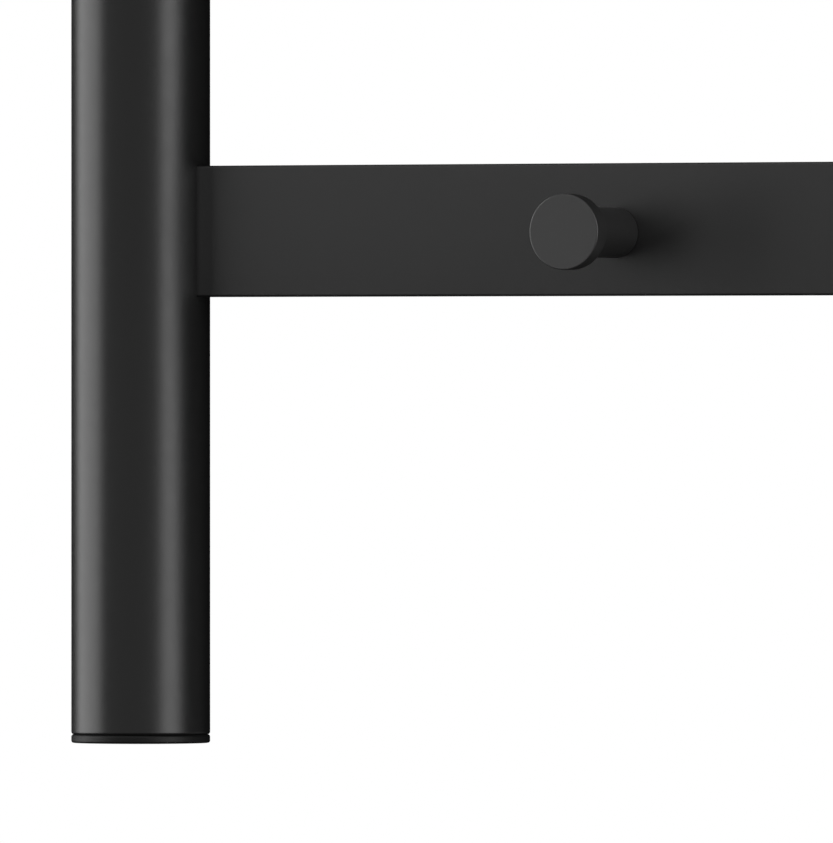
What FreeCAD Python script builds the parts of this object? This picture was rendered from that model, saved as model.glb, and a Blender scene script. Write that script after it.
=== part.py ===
"""Wall-hung electric towel warmer rack: two round uprights, flat crossbars, pegs,
four telescopic wall brackets and a thermostat head under the right upright.

Millimetres. Origin: centre of the four wall-screw holes, on the wall plane.
+X is to the right of someone facing the rack, -Y points into the room, +Z is up.
"""
import FreeCAD, Part
import math
import os

# ---------------------------------------------------------------- frame
TUBE_D = 42.4            # upright tube, stock size
TUBE_WALL = 2.0
UPRIGHT_CENTRES = 487.6  # axis to axis, 530 over both tubes
BAR_COUNT = 6
BAR_PITCH = 176.0
BAR_HEIGHT = 40.0
BAR_DEPTH = 7.0
BAR_WALL = 1.5
BAR_EDGE_R = 0.8
BAR_PAST_WALL = 1.2      # how far a bar end stands inside the upright's bore
OVERHANG = 136.0         # upright beyond the outer edge of the end bars
WALL_TO_TUBE = 76.0      # wall plane to upright axis, brackets at mid travel
END_R = 0.5              # rounding of tube ends and caps, which leaves a small groove
PAST = 1.0               # how far a cutting shape runs past the face it opens

# ---------------------------------------------------------------- end caps
CAP_DISC = 2.6
SPIGOT_LENGTH = 12.0
SPIGOT_WALL = 2.0

# ---------------------------------------------------------------- pegs
PEGS_PER_BAR = 2
PEG_HEAD_D = 22.8
PEG_HEAD_T = 6.2
PEG_STEM_D = 15.2
PEG_REACH = 36.0         # bar face to front of head
PEG_DROP = 1.0           # axis below the bar's centreline
PEG_RIM_R = 0.35
PEG_BACK_R = 0.3
PEG_STUD_D = 6.0
PEG_STUD_LENGTH = 14.0

# ---------------------------------------------------------------- wall brackets
TRAVEL_IN = 6.0          # adjustment towards the wall
TRAVEL_OUT = 10.0        # adjustment away from it
ROD_D = 16.0
ROD_HELD = 8.0           # rod still in its socket at full reach
BOSS_D = 20.0
BOSS_REACH = 8.0         # past the tube's back
BOSS_STUD_D = 8.0
BOSS_STUD_IN_ROD = 10.0
ROD_TIP_BEVEL = 0.5
SOCKET_WALL = 3.0
SOCKET_FLOOR = 4.0
SCREW_ROOM = 2.0         # left over the wall screw with the rod pushed in
ROSETTE_D = 36.0
ROSETTE_WALL = 1.4
ROSETTE_PAST_SOCKET = 4.0
ROSETTE_EDGE_R = 1.0
WALL_HOLE_D = 5.5
WALL_HOLE_CSK_D = 10.0
GRUB_D = 5.0
GRUB_LENGTH = 4.0
GRUB_FROM_MOUTH = 4.0

# ---------------------------------------------------------------- bleed valve and filler
PORT_FROM_END = 40.0
PORT_BOSS_D = 20.0
PORT_BOSS_REACH = 5.0
PORT_THREAD_D = 13.1
PORT_THREAD_LENGTH = 9.0
PORT_HEX = 17.0
PORT_HEX_T = 5.0
PORT_SEAL_T = 1.0
BLEED_SCREW_D = 5.0
BLEED_SCREW_LENGTH = 9.0
BLEED_SCREW_PROUD = 1.5
DRIVER_SLOT = 1.0
FILLER_KEY = 6.0
FILLER_KEY_DEPTH = 4.0

# ---------------------------------------------------------------- heating element
ELEMENT_THREAD_D = 20.9
ELEMENT_THREAD_LENGTH = 14.0
ELEMENT_HEX = 30.0
ELEMENT_HEX_T = 5.0
ELEMENT_SEAL_T = 1.0
SHANK_D = 20.0
SHANK_LENGTH = 10.0
HEATER_D = 9.0
HEATER_OFFSET = 4.0
HEATER_STOP = 100.0      # below the top bar
SENSOR_D = 5.0
SENSOR_OFFSET = 5.2
SENSOR_LENGTH = 120.0
LEAD_D = 2.0

# ---------------------------------------------------------------- thermostat head
DIAL_HEIGHT = 14.0
DIAL_GAP = 0.4
DIAL_WALL = 3.0
DIAL_HUB_D = 12.0
DIAL_FLUTES = 30
DIAL_FLUTE_D = 2.6
DIAL_FLUTE_DEPTH = 0.5
DIAL_PLAIN = 3.5         # plain band above the flutes
DIAL_EDGE_R = 1.2
POINTER_WIDTH = 1.6
POINTER_DEPTH = 1.0
HOUSING_HEIGHT = 71.0
HOUSING_WALL = 2.2
HOUSING_FLOOR = 2.0
COLLAR_T = 3.0
COLLAR_SPIGOT = 8.0
COLLAR_SPIGOT_WALL = 3.6
COLLAR_EDGE_R = 0.8
SHAFT_D = 6.0
ENCODER_SIDE = 14.0
ENCODER_HEIGHT = 6.5
ENCODER_TOP = 1.0        # closed wall over the shaft
BUTTON_D = 12.0
BUTTON_PROUD = 0.6
BUTTON_TRAVEL = 1.2
BUTTON_FLANGE_D = 13.4
BUTTON_FLANGE_T = 1.2
BUTTON_PIN_D = 3.0
BUTTON_PIN_LENGTH = 1.4
BUTTON_EDGE_R = 0.4
WINDOW_D = 4.0
WINDOW_BELOW_COLLAR = 8.0
BUTTON_BELOW_WINDOW = 15.0
BOARD_T = 1.6
BOARD_BELOW_COLLAR = 5.0
BOARD_ABOVE_ENCODER = 0.5
GUIDE_DEPTH = 2.0
GUIDE_LAP = 1.5          # how far a guide reaches behind the board
RELAY_WIDTH = 18.0
RELAY_DEPTH = 10.0
RELAY_HEIGHT = 14.0
RELAY_GAP = 3.0
TERMINAL_SIDE = 10.0
TERMINAL_PAST_AXIS = 3.0
SWITCH_SIDE = 6.0
SWITCH_HEIGHT = 3.9
LED_D = 3.0
GLAND_D = 12.0
GLAND_FLANGE_D = 16.0
GLAND_FLANGE_REACH = 3.0
GLAND_BORE_D = 7.0
GLAND_NUT_T = 3.0
GLAND_END_R = 1.0
GLAND_TAIL = 1.0         # barrel past its nut
GLAND_ABOVE_FLOOR = 14.0
HEAD_SCREW_D = 3.0
HEAD_SCREW_SUNK = 0.2

# ---------------------------------------------------------------- fits
FIT = 0.05               # radial clearance of pushed and sliding fits
LOOSE = 0.3              # between pieces that pass without touching

# ---------------------------------------------------------------- worked-out places
TUBE_R = TUBE_D / 2
BORE_R = TUBE_R - TUBE_WALL
Y_TUBE = -WALL_TO_TUBE
X_UPRIGHTS = (-UPRIGHT_CENTRES / 2, UPRIGHT_CENTRES / 2)
X_LEFT, X_RIGHT = X_UPRIGHTS
BAR_Z = [(row - (BAR_COUNT - 1) / 2) * BAR_PITCH for row in range(BAR_COUNT)]
Z_TOP = BAR_Z[-1] + BAR_HEIGHT / 2 + OVERHANG
Z_BOTTOM = -Z_TOP
Y_BAR_FACE = Y_TUBE - BAR_DEPTH / 2
PEG_X = [UPRIGHT_CENTRES * ((place + 1) / (PEGS_PER_BAR + 1) - 0.5) for place in range(PEGS_PER_BAR)]
ROD_ENGAGED = TRAVEL_OUT + ROD_HELD
SOCKET_LENGTH = SOCKET_FLOOR + SCREW_ROOM + TRAVEL_IN + ROD_ENGAGED
ROSETTE_LENGTH = SOCKET_LENGTH + ROSETTE_PAST_SOCKET
BRACKETS = [(x, z) for z in (BAR_Z[0], BAR_Z[-1]) for x in X_UPRIGHTS]
PORT_Z = Z_TOP - PORT_FROM_END

Z_HOUSING = Z_BOTTOM + DIAL_HEIGHT + DIAL_GAP
Z_COLLAR = Z_HOUSING + HOUSING_HEIGHT
Z_HEX = Z_COLLAR + COLLAR_T
Z_SEAL = Z_HEX + ELEMENT_HEX_T
Z_BUSH = Z_SEAL + ELEMENT_SEAL_T
Z_SHANK = Z_HEX - SHANK_LENGTH
Z_FLOOR = Z_HOUSING + HOUSING_FLOOR
Z_SPIGOT = Z_COLLAR - COLLAR_SPIGOT
Z_WINDOW = Z_SPIGOT - WINDOW_BELOW_COLLAR
Z_BUTTON = Z_WINDOW - BUTTON_BELOW_WINDOW
Z_BOARD = Z_FLOOR + ENCODER_HEIGHT + BOARD_ABOVE_ENCODER
Z_BOARD_TOP = Z_SPIGOT - BOARD_BELOW_COLLAR
Z_GLAND = Z_FLOOR + GLAND_ABOVE_FLOOR
Z_HEAD_SCREW = Z_COLLAR - COLLAR_SPIGOT / 2
HOUSING_BORE_R = TUBE_R - HOUSING_WALL
BUTTON_FLANGE_BACK = (math.sqrt(HOUSING_BORE_R ** 2 - (BUTTON_FLANGE_D / 2) ** 2)
                      - LOOSE - BUTTON_FLANGE_T)
BOARD_FACE = BUTTON_FLANGE_BACK - BUTTON_PIN_LENGTH - BUTTON_TRAVEL - LOOSE - SWITCH_HEIGHT
BOARD_HALF = math.sqrt((HOUSING_BORE_R - LOOSE) ** 2 - BOARD_FACE ** 2)
Y_BOARD = Y_TUBE - BOARD_FACE
Y_GRUB = -SOCKET_LENGTH + GRUB_FROM_MOUTH
UP = FreeCAD.Vector(0, 0, 1)
BACK = FreeCAD.Vector(0, 1, 0)
RIGHT = FreeCAD.Vector(1, 0, 0)


# ---------------------------------------------------------------- shape helpers
def upright_rod(x, y, low, high, radius):
    """A solid cylinder along Z."""
    return Part.makeCylinder(radius, high - low, FreeCAD.Vector(x, y, low), UP)


def level_rod(x, z, front, back, radius):
    """A solid cylinder along Y."""
    return Part.makeCylinder(radius, back - front, FreeCAD.Vector(x, front, z), BACK)


def side_rod(y, z, left, right, radius):
    """A solid cylinder along X."""
    return Part.makeCylinder(radius, right - left, FreeCAD.Vector(left, y, z), RIGHT)


def block(low, high):
    """A box between two corners."""
    size = [b - a for a, b in zip(low, high)]
    return Part.makeBox(size[0], size[1], size[2], FreeCAD.Vector(*low))


def hex_prism(x, y, z, across_flats, height, direction):
    """A hexagonal prism whose base is centred on a point."""
    corner = across_flats / math.sqrt(3)
    points = []
    for turn in range(7):
        angle = math.radians(60 * turn)
        across, along = corner * math.cos(angle), corner * math.sin(angle)
        if direction == UP:
            points.append(FreeCAD.Vector(x + across, y + along, z))
        else:
            points.append(FreeCAD.Vector(x + across, y, z + along))
    face = Part.Face(Part.makePolygon(points))
    return face.extrude(direction * height)


def rims_at(shape, axis, level, radius=None):
    """The circular edges of a shape that lie in one plane."""
    found = []
    for edge in shape.Edges:
        curve = edge.Curve
        if not isinstance(curve, Part.Circle):
            continue
        if abs(getattr(curve.Center, axis) - level) > 1e-6:
            continue
        if radius is None or abs(curve.Radius - radius) < 1e-6:
            found.append(edge)
    return found


def soften(shape, size, axis, level, radius):
    """Rounds the rim of one radius in one plane."""
    return shape.makeFillet(size, rims_at(shape, axis, level, radius))


def bevel(shape, size, axis, level, radius):
    """Bevels the rim of one radius in one plane."""
    return shape.makeChamfer(size, rims_at(shape, axis, level, radius))


def bar_blank(left, right, z, grow=0.0):
    """The outer shape of a crossbar, with rounded long edges."""
    half_depth = BAR_DEPTH / 2 + grow
    half_height = BAR_HEIGHT / 2 + grow
    blank = block((left, Y_TUBE - half_depth, z - half_height),
                  (right, Y_TUBE + half_depth, z + half_height))
    long_edges = [edge for edge in blank.Edges if abs(edge.tangentAt(0).x) > 0.5]
    return blank.makeFillet(BAR_EDGE_R + grow, long_edges)


def saddle(x, z, diameter, reach):
    """A boss along +Y whose front end sits on an upright's back."""
    boss = level_rod(x, z, Y_TUBE, Y_TUBE + TUBE_R + reach, diameter / 2)
    return boss.cut(upright_rod(x, Y_TUBE, z - diameter, z + diameter, TUBE_R))


# ---------------------------------------------------------------- frame pieces
def upright(x, low, port_radius):
    """One upright tube with its bar slots and its port hole."""
    high = Z_TOP - CAP_DISC
    tube = upright_rod(x, Y_TUBE, low, high, TUBE_R)
    for level in (low, high):
        tube = soften(tube, END_R, "z", level, TUBE_R)
    tube = tube.cut(upright_rod(x, Y_TUBE, low - PAST, high + PAST, BORE_R))
    inward = -math.copysign(1, x)
    ends = sorted((x + inward * BORE_R / 2, x + inward * (TUBE_R + PAST)))
    for z in BAR_Z:
        tube = tube.cut(bar_blank(ends[0], ends[1], z, FIT))
    return tube.cut(level_rod(x, PORT_Z, Y_TUBE, Y_TUBE + TUBE_R + PAST, port_radius))


def crossbar(z):
    """One hollow flat bar, open at both ends into the uprights."""
    inset = BORE_R - BAR_PAST_WALL
    left, right = X_LEFT + inset, X_RIGHT - inset
    outside = bar_blank(left, right, z)
    half_depth = BAR_DEPTH / 2 - BAR_WALL
    half_height = BAR_HEIGHT / 2 - BAR_WALL
    channel = block((left - PAST, Y_TUBE - half_depth, z - half_height),
                    (right + PAST, Y_TUBE + half_depth, z + half_height))
    return outside.cut(channel)


def end_cap(x, end, inward):
    """A flush disc with a hollow spigot in the tube; inward is +1 or -1 along Z."""
    seat = end + inward * CAP_DISC
    tip = seat + inward * SPIGOT_LENGTH
    disc = upright_rod(x, Y_TUBE, min(end, seat), max(end, seat), TUBE_R)
    for level in (end, seat):
        disc = soften(disc, END_R, "z", level, TUBE_R)
    spigot_r = BORE_R - FIT
    spigot = upright_rod(x, Y_TUBE, min(seat, tip), max(seat, tip), spigot_r)
    hollow = upright_rod(x, Y_TUBE, min(seat, tip), max(seat, tip), spigot_r - SPIGOT_WALL)
    return disc.fuse(spigot.cut(hollow)).removeSplitter()


def peg(x, z):
    """A round peg with a wider head, drilled for its stud."""
    front = Y_BAR_FACE - PEG_REACH
    behind_head = front + PEG_HEAD_T
    head = level_rod(x, z, front, behind_head, PEG_HEAD_D / 2)
    head = soften(head, PEG_RIM_R, "y", front, PEG_HEAD_D / 2)
    head = soften(head, PEG_BACK_R, "y", behind_head, PEG_HEAD_D / 2)
    stem = level_rod(x, z, behind_head, Y_BAR_FACE, PEG_STEM_D / 2)
    stem = bevel(stem, PEG_BACK_R, "y", Y_BAR_FACE, PEG_STEM_D / 2)
    drilled = level_rod(x, z, Y_BAR_FACE - PEG_STUD_LENGTH - PAST, Y_BAR_FACE, PEG_STUD_D / 2 + FIT)
    return head.fuse(stem).removeSplitter().cut(drilled)


def peg_stud(x, z):
    """A threaded stud welded to the bar's face, with a bevelled tip."""
    tip = Y_BAR_FACE - PEG_STUD_LENGTH
    stud = level_rod(x, z, tip, Y_BAR_FACE, PEG_STUD_D / 2)
    return bevel(stud, PEG_STUD_D / 8, "y", tip, PEG_STUD_D / 2)


def frame_nodes():
    """Uprights, bars, caps, pegs and their studs."""
    nodes = {
        "left_upright": [upright(X_LEFT, Z_BOTTOM + CAP_DISC, PORT_THREAD_D / 2 + FIT)],
        "right_upright": [upright(X_RIGHT, Z_BUSH + CAP_DISC, PORT_THREAD_D / 2 + FIT)],
        "cap_lower_left": [end_cap(X_LEFT, Z_BOTTOM, 1)],
        "cap_upper_left": [end_cap(X_LEFT, Z_TOP, -1)],
        "cap_upper_right": [end_cap(X_RIGHT, Z_TOP, -1)],
    }
    studs = []
    for row, z in enumerate(BAR_Z, start=1):
        nodes[f"crossbar_{row}"] = [crossbar(z)]
        nodes[f"pegs_row_{row}"] = [peg(x, z - PEG_DROP) for x in PEG_X]
        studs += [peg_stud(x, z - PEG_DROP) for x in PEG_X]
    nodes["peg_studs"] = studs
    return nodes


# ---------------------------------------------------------------- bracket pieces
def bracket_boss(x, z):
    """A boss welded to the upright's back, tapped right through for the rod's stud."""
    tapped = level_rod(x, z, Y_TUBE, Y_TUBE + TUBE_R + BOSS_REACH, BOSS_STUD_D / 2 + FIT)
    return saddle(x, z, BOSS_D, BOSS_REACH).cut(tapped)


def bracket_stud(x, z):
    """The stud that joins boss and rod."""
    seat = Y_TUBE + TUBE_R + BOSS_REACH
    return level_rod(x, z, seat - BOSS_REACH + PAST, seat + BOSS_STUD_IN_ROD, BOSS_STUD_D / 2)


def bracket_rod(x, z):
    """The rod that slides in the wall socket."""
    front = Y_TUBE + TUBE_R + BOSS_REACH
    back = -SOCKET_LENGTH + ROD_ENGAGED
    rod = bevel(level_rod(x, z, front, back, ROD_D / 2), ROD_TIP_BEVEL, "y", back, ROD_D / 2)
    return rod.cut(level_rod(x, z, front, front + BOSS_STUD_IN_ROD + PAST, BOSS_STUD_D / 2 + FIT))


def wall_socket(x, z):
    """A wall plate with a tubular socket and one countersunk screw hole."""
    bore_r = ROD_D / 2 + FIT
    plate = level_rod(x, z, -SOCKET_FLOOR, 0, ROSETTE_D / 2 - ROSETTE_WALL - FIT)
    barrel = level_rod(x, z, -SOCKET_LENGTH, -SOCKET_FLOOR, bore_r + SOCKET_WALL)
    socket = plate.fuse(barrel).cut(level_rod(x, z, -SOCKET_LENGTH, -SOCKET_FLOOR, bore_r))
    socket = socket.cut(level_rod(x, z, -SOCKET_FLOOR, 0, WALL_HOLE_D / 2))
    sink = (WALL_HOLE_CSK_D - WALL_HOLE_D) / 2
    seat = FreeCAD.Vector(x, -SOCKET_FLOOR, z)
    cone = Part.makeCone(WALL_HOLE_CSK_D / 2, WALL_HOLE_D / 2, sink, seat, BACK)
    tapped = upright_rod(x, Y_GRUB, z - bore_r - SOCKET_WALL - PAST, z - bore_r / 2, GRUB_D / 2 + FIT)
    return socket.cut(cone).cut(tapped)


def grub_screw(x, z):
    """The socket screw that clamps the rod, backed off by a hair."""
    tip = z - ROD_D / 2 - LOOSE
    grub = upright_rod(x, Y_GRUB, tip - GRUB_LENGTH, tip, GRUB_D / 2)
    key = hex_prism(x, Y_GRUB, tip - GRUB_LENGTH, GRUB_D / 2, GRUB_LENGTH / 2, UP)
    return grub.cut(key)


def rosette(x, z):
    """The cover over a socket, with a key hole below for the grub screw."""
    outer = level_rod(x, z, -ROSETTE_LENGTH, 0, ROSETTE_D / 2)
    outer = soften(outer, ROSETTE_EDGE_R, "y", -ROSETTE_LENGTH, ROSETTE_D / 2)
    inner = level_rod(x, z, -ROSETTE_LENGTH + ROSETTE_WALL, 0, ROSETTE_D / 2 - ROSETTE_WALL)
    mouth = level_rod(x, z, -ROSETTE_LENGTH, 0, ROD_D / 2 + LOOSE)
    bottom = z - ROSETTE_D / 2
    key_hole = upright_rod(x, Y_GRUB, bottom - PAST, bottom + ROSETTE_WALL + PAST, GRUB_D / 2 + LOOSE)
    return outer.cut(inner).cut(mouth).cut(key_hole)


def bracket_nodes():
    """Four brackets, each piece of them a group of four."""
    makers = {
        "bracket_bosses": bracket_boss,
        "bracket_studs": bracket_stud,
        "bracket_rods": bracket_rod,
        "wall_sockets": wall_socket,
        "grub_screws": grub_screw,
        "rosettes": rosette,
    }
    return {name: [make(x, z) for x, z in BRACKETS] for name, make in makers.items()}


# ---------------------------------------------------------------- bleed valve and filler
def port_boss(x):
    """A tapped boss welded to the upright's back."""
    bore = level_rod(x, PORT_Z, Y_TUBE, Y_TUBE + TUBE_R + PORT_BOSS_REACH, PORT_THREAD_D / 2 + FIT)
    return saddle(x, PORT_Z, PORT_BOSS_D, PORT_BOSS_REACH).cut(bore)


def port_seal(x):
    """A flat ring between boss and plug."""
    seat = Y_TUBE + TUBE_R + PORT_BOSS_REACH
    ring = level_rod(x, PORT_Z, seat, seat + PORT_SEAL_T, PORT_HEX / 2)
    return ring.cut(level_rod(x, PORT_Z, seat, seat + PORT_SEAL_T, PORT_THREAD_D / 2 + FIT))


def port_plug(x):
    """A threaded plug with a hexagon, before its own bore is made."""
    seat = Y_TUBE + TUBE_R + PORT_BOSS_REACH + PORT_SEAL_T
    thread = level_rod(x, PORT_Z, seat - PORT_THREAD_LENGTH, seat, PORT_THREAD_D / 2)
    return thread.fuse(hex_prism(x, seat, PORT_Z, PORT_HEX, PORT_HEX_T, BACK)).removeSplitter()


def bleed_screw(x, back):
    """The slotted screw that opens the bleed valve."""
    screw = level_rod(x, PORT_Z, back - BLEED_SCREW_LENGTH, back, BLEED_SCREW_D / 2)
    half = DRIVER_SLOT / 2
    slot = block((x - BLEED_SCREW_D, back - DRIVER_SLOT, PORT_Z - half),
                 (x + BLEED_SCREW_D, back + PAST, PORT_Z + half))
    return screw.cut(slot)


def port_nodes():
    """Bleed valve on the left upright, filler plug on the right one."""
    back = Y_TUBE + TUBE_R + PORT_BOSS_REACH + PORT_SEAL_T + PORT_HEX_T
    screw_back = back + BLEED_SCREW_PROUD
    screw_tip = screw_back - BLEED_SCREW_LENGTH
    valve = port_plug(X_LEFT).cut(level_rod(X_LEFT, PORT_Z, screw_tip, back, BLEED_SCREW_D / 2 + FIT))
    key = hex_prism(X_RIGHT, back - FILLER_KEY_DEPTH, PORT_Z, FILLER_KEY, FILLER_KEY_DEPTH, BACK)
    return {
        "port_bosses": [port_boss(x) for x in X_UPRIGHTS],
        "port_seals": [port_seal(x) for x in X_UPRIGHTS],
        "bleed_valve": [valve],
        "bleed_screw": [bleed_screw(X_LEFT, screw_back)],
        "filler_plug": [port_plug(X_RIGHT).cut(key)],
    }


# ---------------------------------------------------------------- heating element
def element_nodes():
    """Bush, hexagon with shank, seal, heater, sensor sleeve and leads."""
    thread_r = ELEMENT_THREAD_D / 2
    seat = Z_BUSH + CAP_DISC
    disc = upright_rod(X_RIGHT, Y_TUBE, Z_BUSH, seat, TUBE_R)
    for level in (Z_BUSH, seat):
        disc = soften(disc, END_R, "z", level, TUBE_R)
    spigot = upright_rod(X_RIGHT, Y_TUBE, seat, seat + SPIGOT_LENGTH, BORE_R - FIT)
    bush = disc.fuse(spigot).removeSplitter()
    bush = bush.cut(upright_rod(X_RIGHT, Y_TUBE, Z_BUSH, seat + SPIGOT_LENGTH, thread_r + FIT))

    seal = upright_rod(X_RIGHT, Y_TUBE, Z_SEAL, Z_BUSH, ELEMENT_HEX / 2)
    seal = seal.cut(upright_rod(X_RIGHT, Y_TUBE, Z_SEAL, Z_BUSH, thread_r + FIT))

    heater_x, sensor_x = X_RIGHT - HEATER_OFFSET, X_RIGHT + SENSOR_OFFSET
    fitting = hex_prism(X_RIGHT, Y_TUBE, Z_HEX, ELEMENT_HEX, ELEMENT_HEX_T, UP)
    fitting = fitting.fuse(upright_rod(X_RIGHT, Y_TUBE, Z_SEAL, Z_SEAL + ELEMENT_THREAD_LENGTH, thread_r))
    fitting = fitting.fuse(upright_rod(X_RIGHT, Y_TUBE, Z_SHANK, Z_HEX, SHANK_D / 2)).removeSplitter()
    top = Z_SEAL + ELEMENT_THREAD_LENGTH
    fitting = fitting.cut(upright_rod(heater_x, Y_TUBE, Z_SHANK, top, HEATER_D / 2 + FIT))
    fitting = fitting.cut(upright_rod(sensor_x, Y_TUBE, Z_SHANK, top, SENSOR_D / 2 + FIT))

    heater_top = BAR_Z[-1] - HEATER_STOP
    heater = upright_rod(heater_x, Y_TUBE, Z_SHANK, heater_top, HEATER_D / 2)
    heater = soften(heater, HEATER_D / 4, "z", heater_top, HEATER_D / 2)
    sensor = upright_rod(sensor_x, Y_TUBE, Z_SHANK, Z_SHANK + SENSOR_LENGTH, SENSOR_D / 2)

    lead_x = (heater_x - LEAD_D, heater_x + LEAD_D)
    leads = [upright_rod(x, Y_TUBE, Z_BOARD_TOP, Z_SHANK, LEAD_D / 2) for x in lead_x]
    return {
        "element_bush": [bush],
        "element_seal": [seal],
        "element_fitting": [fitting],
        "heater": [heater],
        "sensor_sleeve": [sensor],
        "element_leads": leads,
    }


# ---------------------------------------------------------------- thermostat head
def dial():
    """The turning cup at the foot of the head, fluted round its side."""
    top = Z_BOTTOM + DIAL_HEIGHT
    cup = upright_rod(X_RIGHT, Y_TUBE, Z_BOTTOM, top, TUBE_R)
    cup = soften(cup, DIAL_EDGE_R, "z", Z_BOTTOM, TUBE_R)
    cup = soften(cup, END_R, "z", top, TUBE_R)
    cup = cup.cut(upright_rod(X_RIGHT, Y_TUBE, Z_BOTTOM + DIAL_WALL, top, TUBE_R - DIAL_WALL))
    hub = upright_rod(X_RIGHT, Y_TUBE, Z_BOTTOM + DIAL_WALL, top - DIAL_GAP, DIAL_HUB_D / 2)
    cup = cup.fuse(hub).removeSplitter()
    cup = cup.cut(upright_rod(X_RIGHT, Y_TUBE, Z_BOTTOM + DIAL_WALL, top, SHAFT_D / 2 + FIT))
    centre_r = TUBE_R + DIAL_FLUTE_D / 2 - DIAL_FLUTE_DEPTH
    flutes = []
    for step in range(1, DIAL_FLUTES):
        angle = math.radians(-90 + 360 * step / DIAL_FLUTES)
        x, y = X_RIGHT + centre_r * math.cos(angle), Y_TUBE + centre_r * math.sin(angle)
        flutes.append(upright_rod(x, y, Z_BOTTOM - PAST, top - DIAL_PLAIN, DIAL_FLUTE_D / 2))
    return cup.cut(Part.makeCompound(flutes)).cut(dial_pointer(FIT))


def dial_pointer(grow=0.0):
    """The inlaid mark on the dial's front, flush with its side."""
    low, high = Z_BOTTOM + DIAL_WALL - grow, Z_BOTTOM + DIAL_HEIGHT - END_R * 2 + grow
    half = POINTER_WIDTH / 2 + grow
    side = Y_TUBE - TUBE_R
    strip = block((X_RIGHT - half, side - PAST, low), (X_RIGHT + half, side + POINTER_DEPTH + grow, high))
    return strip.common(upright_rod(X_RIGHT, Y_TUBE, low, high, TUBE_R + grow))


def housing():
    """The head's shell: floor, side wall, board guides and its holes."""
    shell = upright_rod(X_RIGHT, Y_TUBE, Z_HOUSING, Z_COLLAR, TUBE_R)
    shell = soften(shell, END_R, "z", Z_HOUSING, TUBE_R)
    shell = shell.cut(upright_rod(X_RIGHT, Y_TUBE, Z_FLOOR, Z_COLLAR, HOUSING_BORE_R))
    guide_front = Y_BOARD + BOARD_T
    in_wall = upright_rod(X_RIGHT, Y_TUBE, Z_FLOOR, Z_COLLAR, HOUSING_BORE_R + HOUSING_WALL / 4)
    for side in (-1, 1):
        near, far = sorted((X_RIGHT + side * (BOARD_HALF - GUIDE_LAP), X_RIGHT + side * TUBE_R))
        guide = block((near, guide_front, Z_BOARD), (far, guide_front + GUIDE_DEPTH, Z_BOARD_TOP))
        shell = shell.fuse(guide.common(in_wall))
    front, back = Y_TUBE - TUBE_R - PAST, Y_TUBE + TUBE_R + PAST
    holes = [
        upright_rod(X_RIGHT, Y_TUBE, Z_HOUSING, Z_FLOOR, SHAFT_D / 2 + LOOSE),
        level_rod(X_RIGHT, Z_BUTTON, front, Y_TUBE - BUTTON_D / 2, BUTTON_D / 2 + 2 * FIT),
        level_rod(X_RIGHT, Z_WINDOW, front, Y_TUBE - BUTTON_D / 2, WINDOW_D / 2 + FIT),
        level_rod(X_RIGHT, Z_GLAND, Y_TUBE + GLAND_D / 2, back, GLAND_D / 2 + FIT),
        side_rod(Y_TUBE, Z_HEAD_SCREW, X_RIGHT - TUBE_R, X_RIGHT + TUBE_R, HEAD_SCREW_D / 2 + FIT),
    ]
    return shell.removeSplitter().cut(Part.makeCompound(holes))


def collar():
    """The head's top: a disc round the shank with a spigot in the shell."""
    disc = upright_rod(X_RIGHT, Y_TUBE, Z_COLLAR, Z_HEX, TUBE_R)
    disc = soften(disc, COLLAR_EDGE_R, "z", Z_HEX, TUBE_R)
    spigot_r = HOUSING_BORE_R - FIT
    spigot = upright_rod(X_RIGHT, Y_TUBE, Z_SPIGOT, Z_COLLAR, spigot_r)
    spigot = spigot.cut(upright_rod(X_RIGHT, Y_TUBE, Z_SPIGOT, Z_COLLAR, spigot_r - COLLAR_SPIGOT_WALL))
    whole = disc.fuse(spigot).removeSplitter()
    whole = whole.cut(upright_rod(X_RIGHT, Y_TUBE, Z_SHANK, Z_HEX, SHANK_D / 2 + FIT))
    screws = side_rod(Y_TUBE, Z_HEAD_SCREW, X_RIGHT - TUBE_R, X_RIGHT + TUBE_R, HEAD_SCREW_D / 2 + FIT)
    return whole.cut(screws)


def head_screw(side):
    """A side screw through shell and spigot, its head flush."""
    tip = X_RIGHT + side * (HOUSING_BORE_R - COLLAR_SPIGOT_WALL)
    head = X_RIGHT + side * (TUBE_R - HEAD_SCREW_SUNK)
    left, right = sorted((tip, head))
    return side_rod(Y_TUBE, Z_HEAD_SCREW, left, right, HEAD_SCREW_D / 2)


def push_button():
    """The button's cap, flange and pin, which runs in the shell's hole."""
    front = Y_TUBE - TUBE_R - BUTTON_PROUD
    flange_back = Y_TUBE - BUTTON_FLANGE_BACK
    flange_front = flange_back - BUTTON_FLANGE_T
    cap = level_rod(X_RIGHT, Z_BUTTON, front, flange_front, BUTTON_D / 2)
    cap = soften(cap, BUTTON_EDGE_R, "y", front, BUTTON_D / 2)
    flange = level_rod(X_RIGHT, Z_BUTTON, flange_front, flange_back, BUTTON_FLANGE_D / 2)
    pin = level_rod(X_RIGHT, Z_BUTTON, flange_back, flange_back + BUTTON_PIN_LENGTH, BUTTON_PIN_D / 2)
    return cap.fuse(flange).fuse(pin).removeSplitter()


def gland():
    """The cord's gland in the shell's back, with a flange that follows it."""
    flange = saddle(X_RIGHT, Z_GLAND, GLAND_FLANGE_D, GLAND_FLANGE_REACH)
    front, back = gland_nut_front() - GLAND_TAIL, Y_TUBE + TUBE_R + GLAND_FLANGE_REACH
    barrel = level_rod(X_RIGHT, Z_GLAND, front, Y_TUBE + TUBE_R, GLAND_D / 2)
    whole = flange.fuse(barrel).removeSplitter()
    whole = soften(whole, GLAND_END_R, "y", back, GLAND_FLANGE_D / 2)
    return whole.cut(level_rod(X_RIGHT, Z_GLAND, front, back, GLAND_BORE_D / 2))


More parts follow.
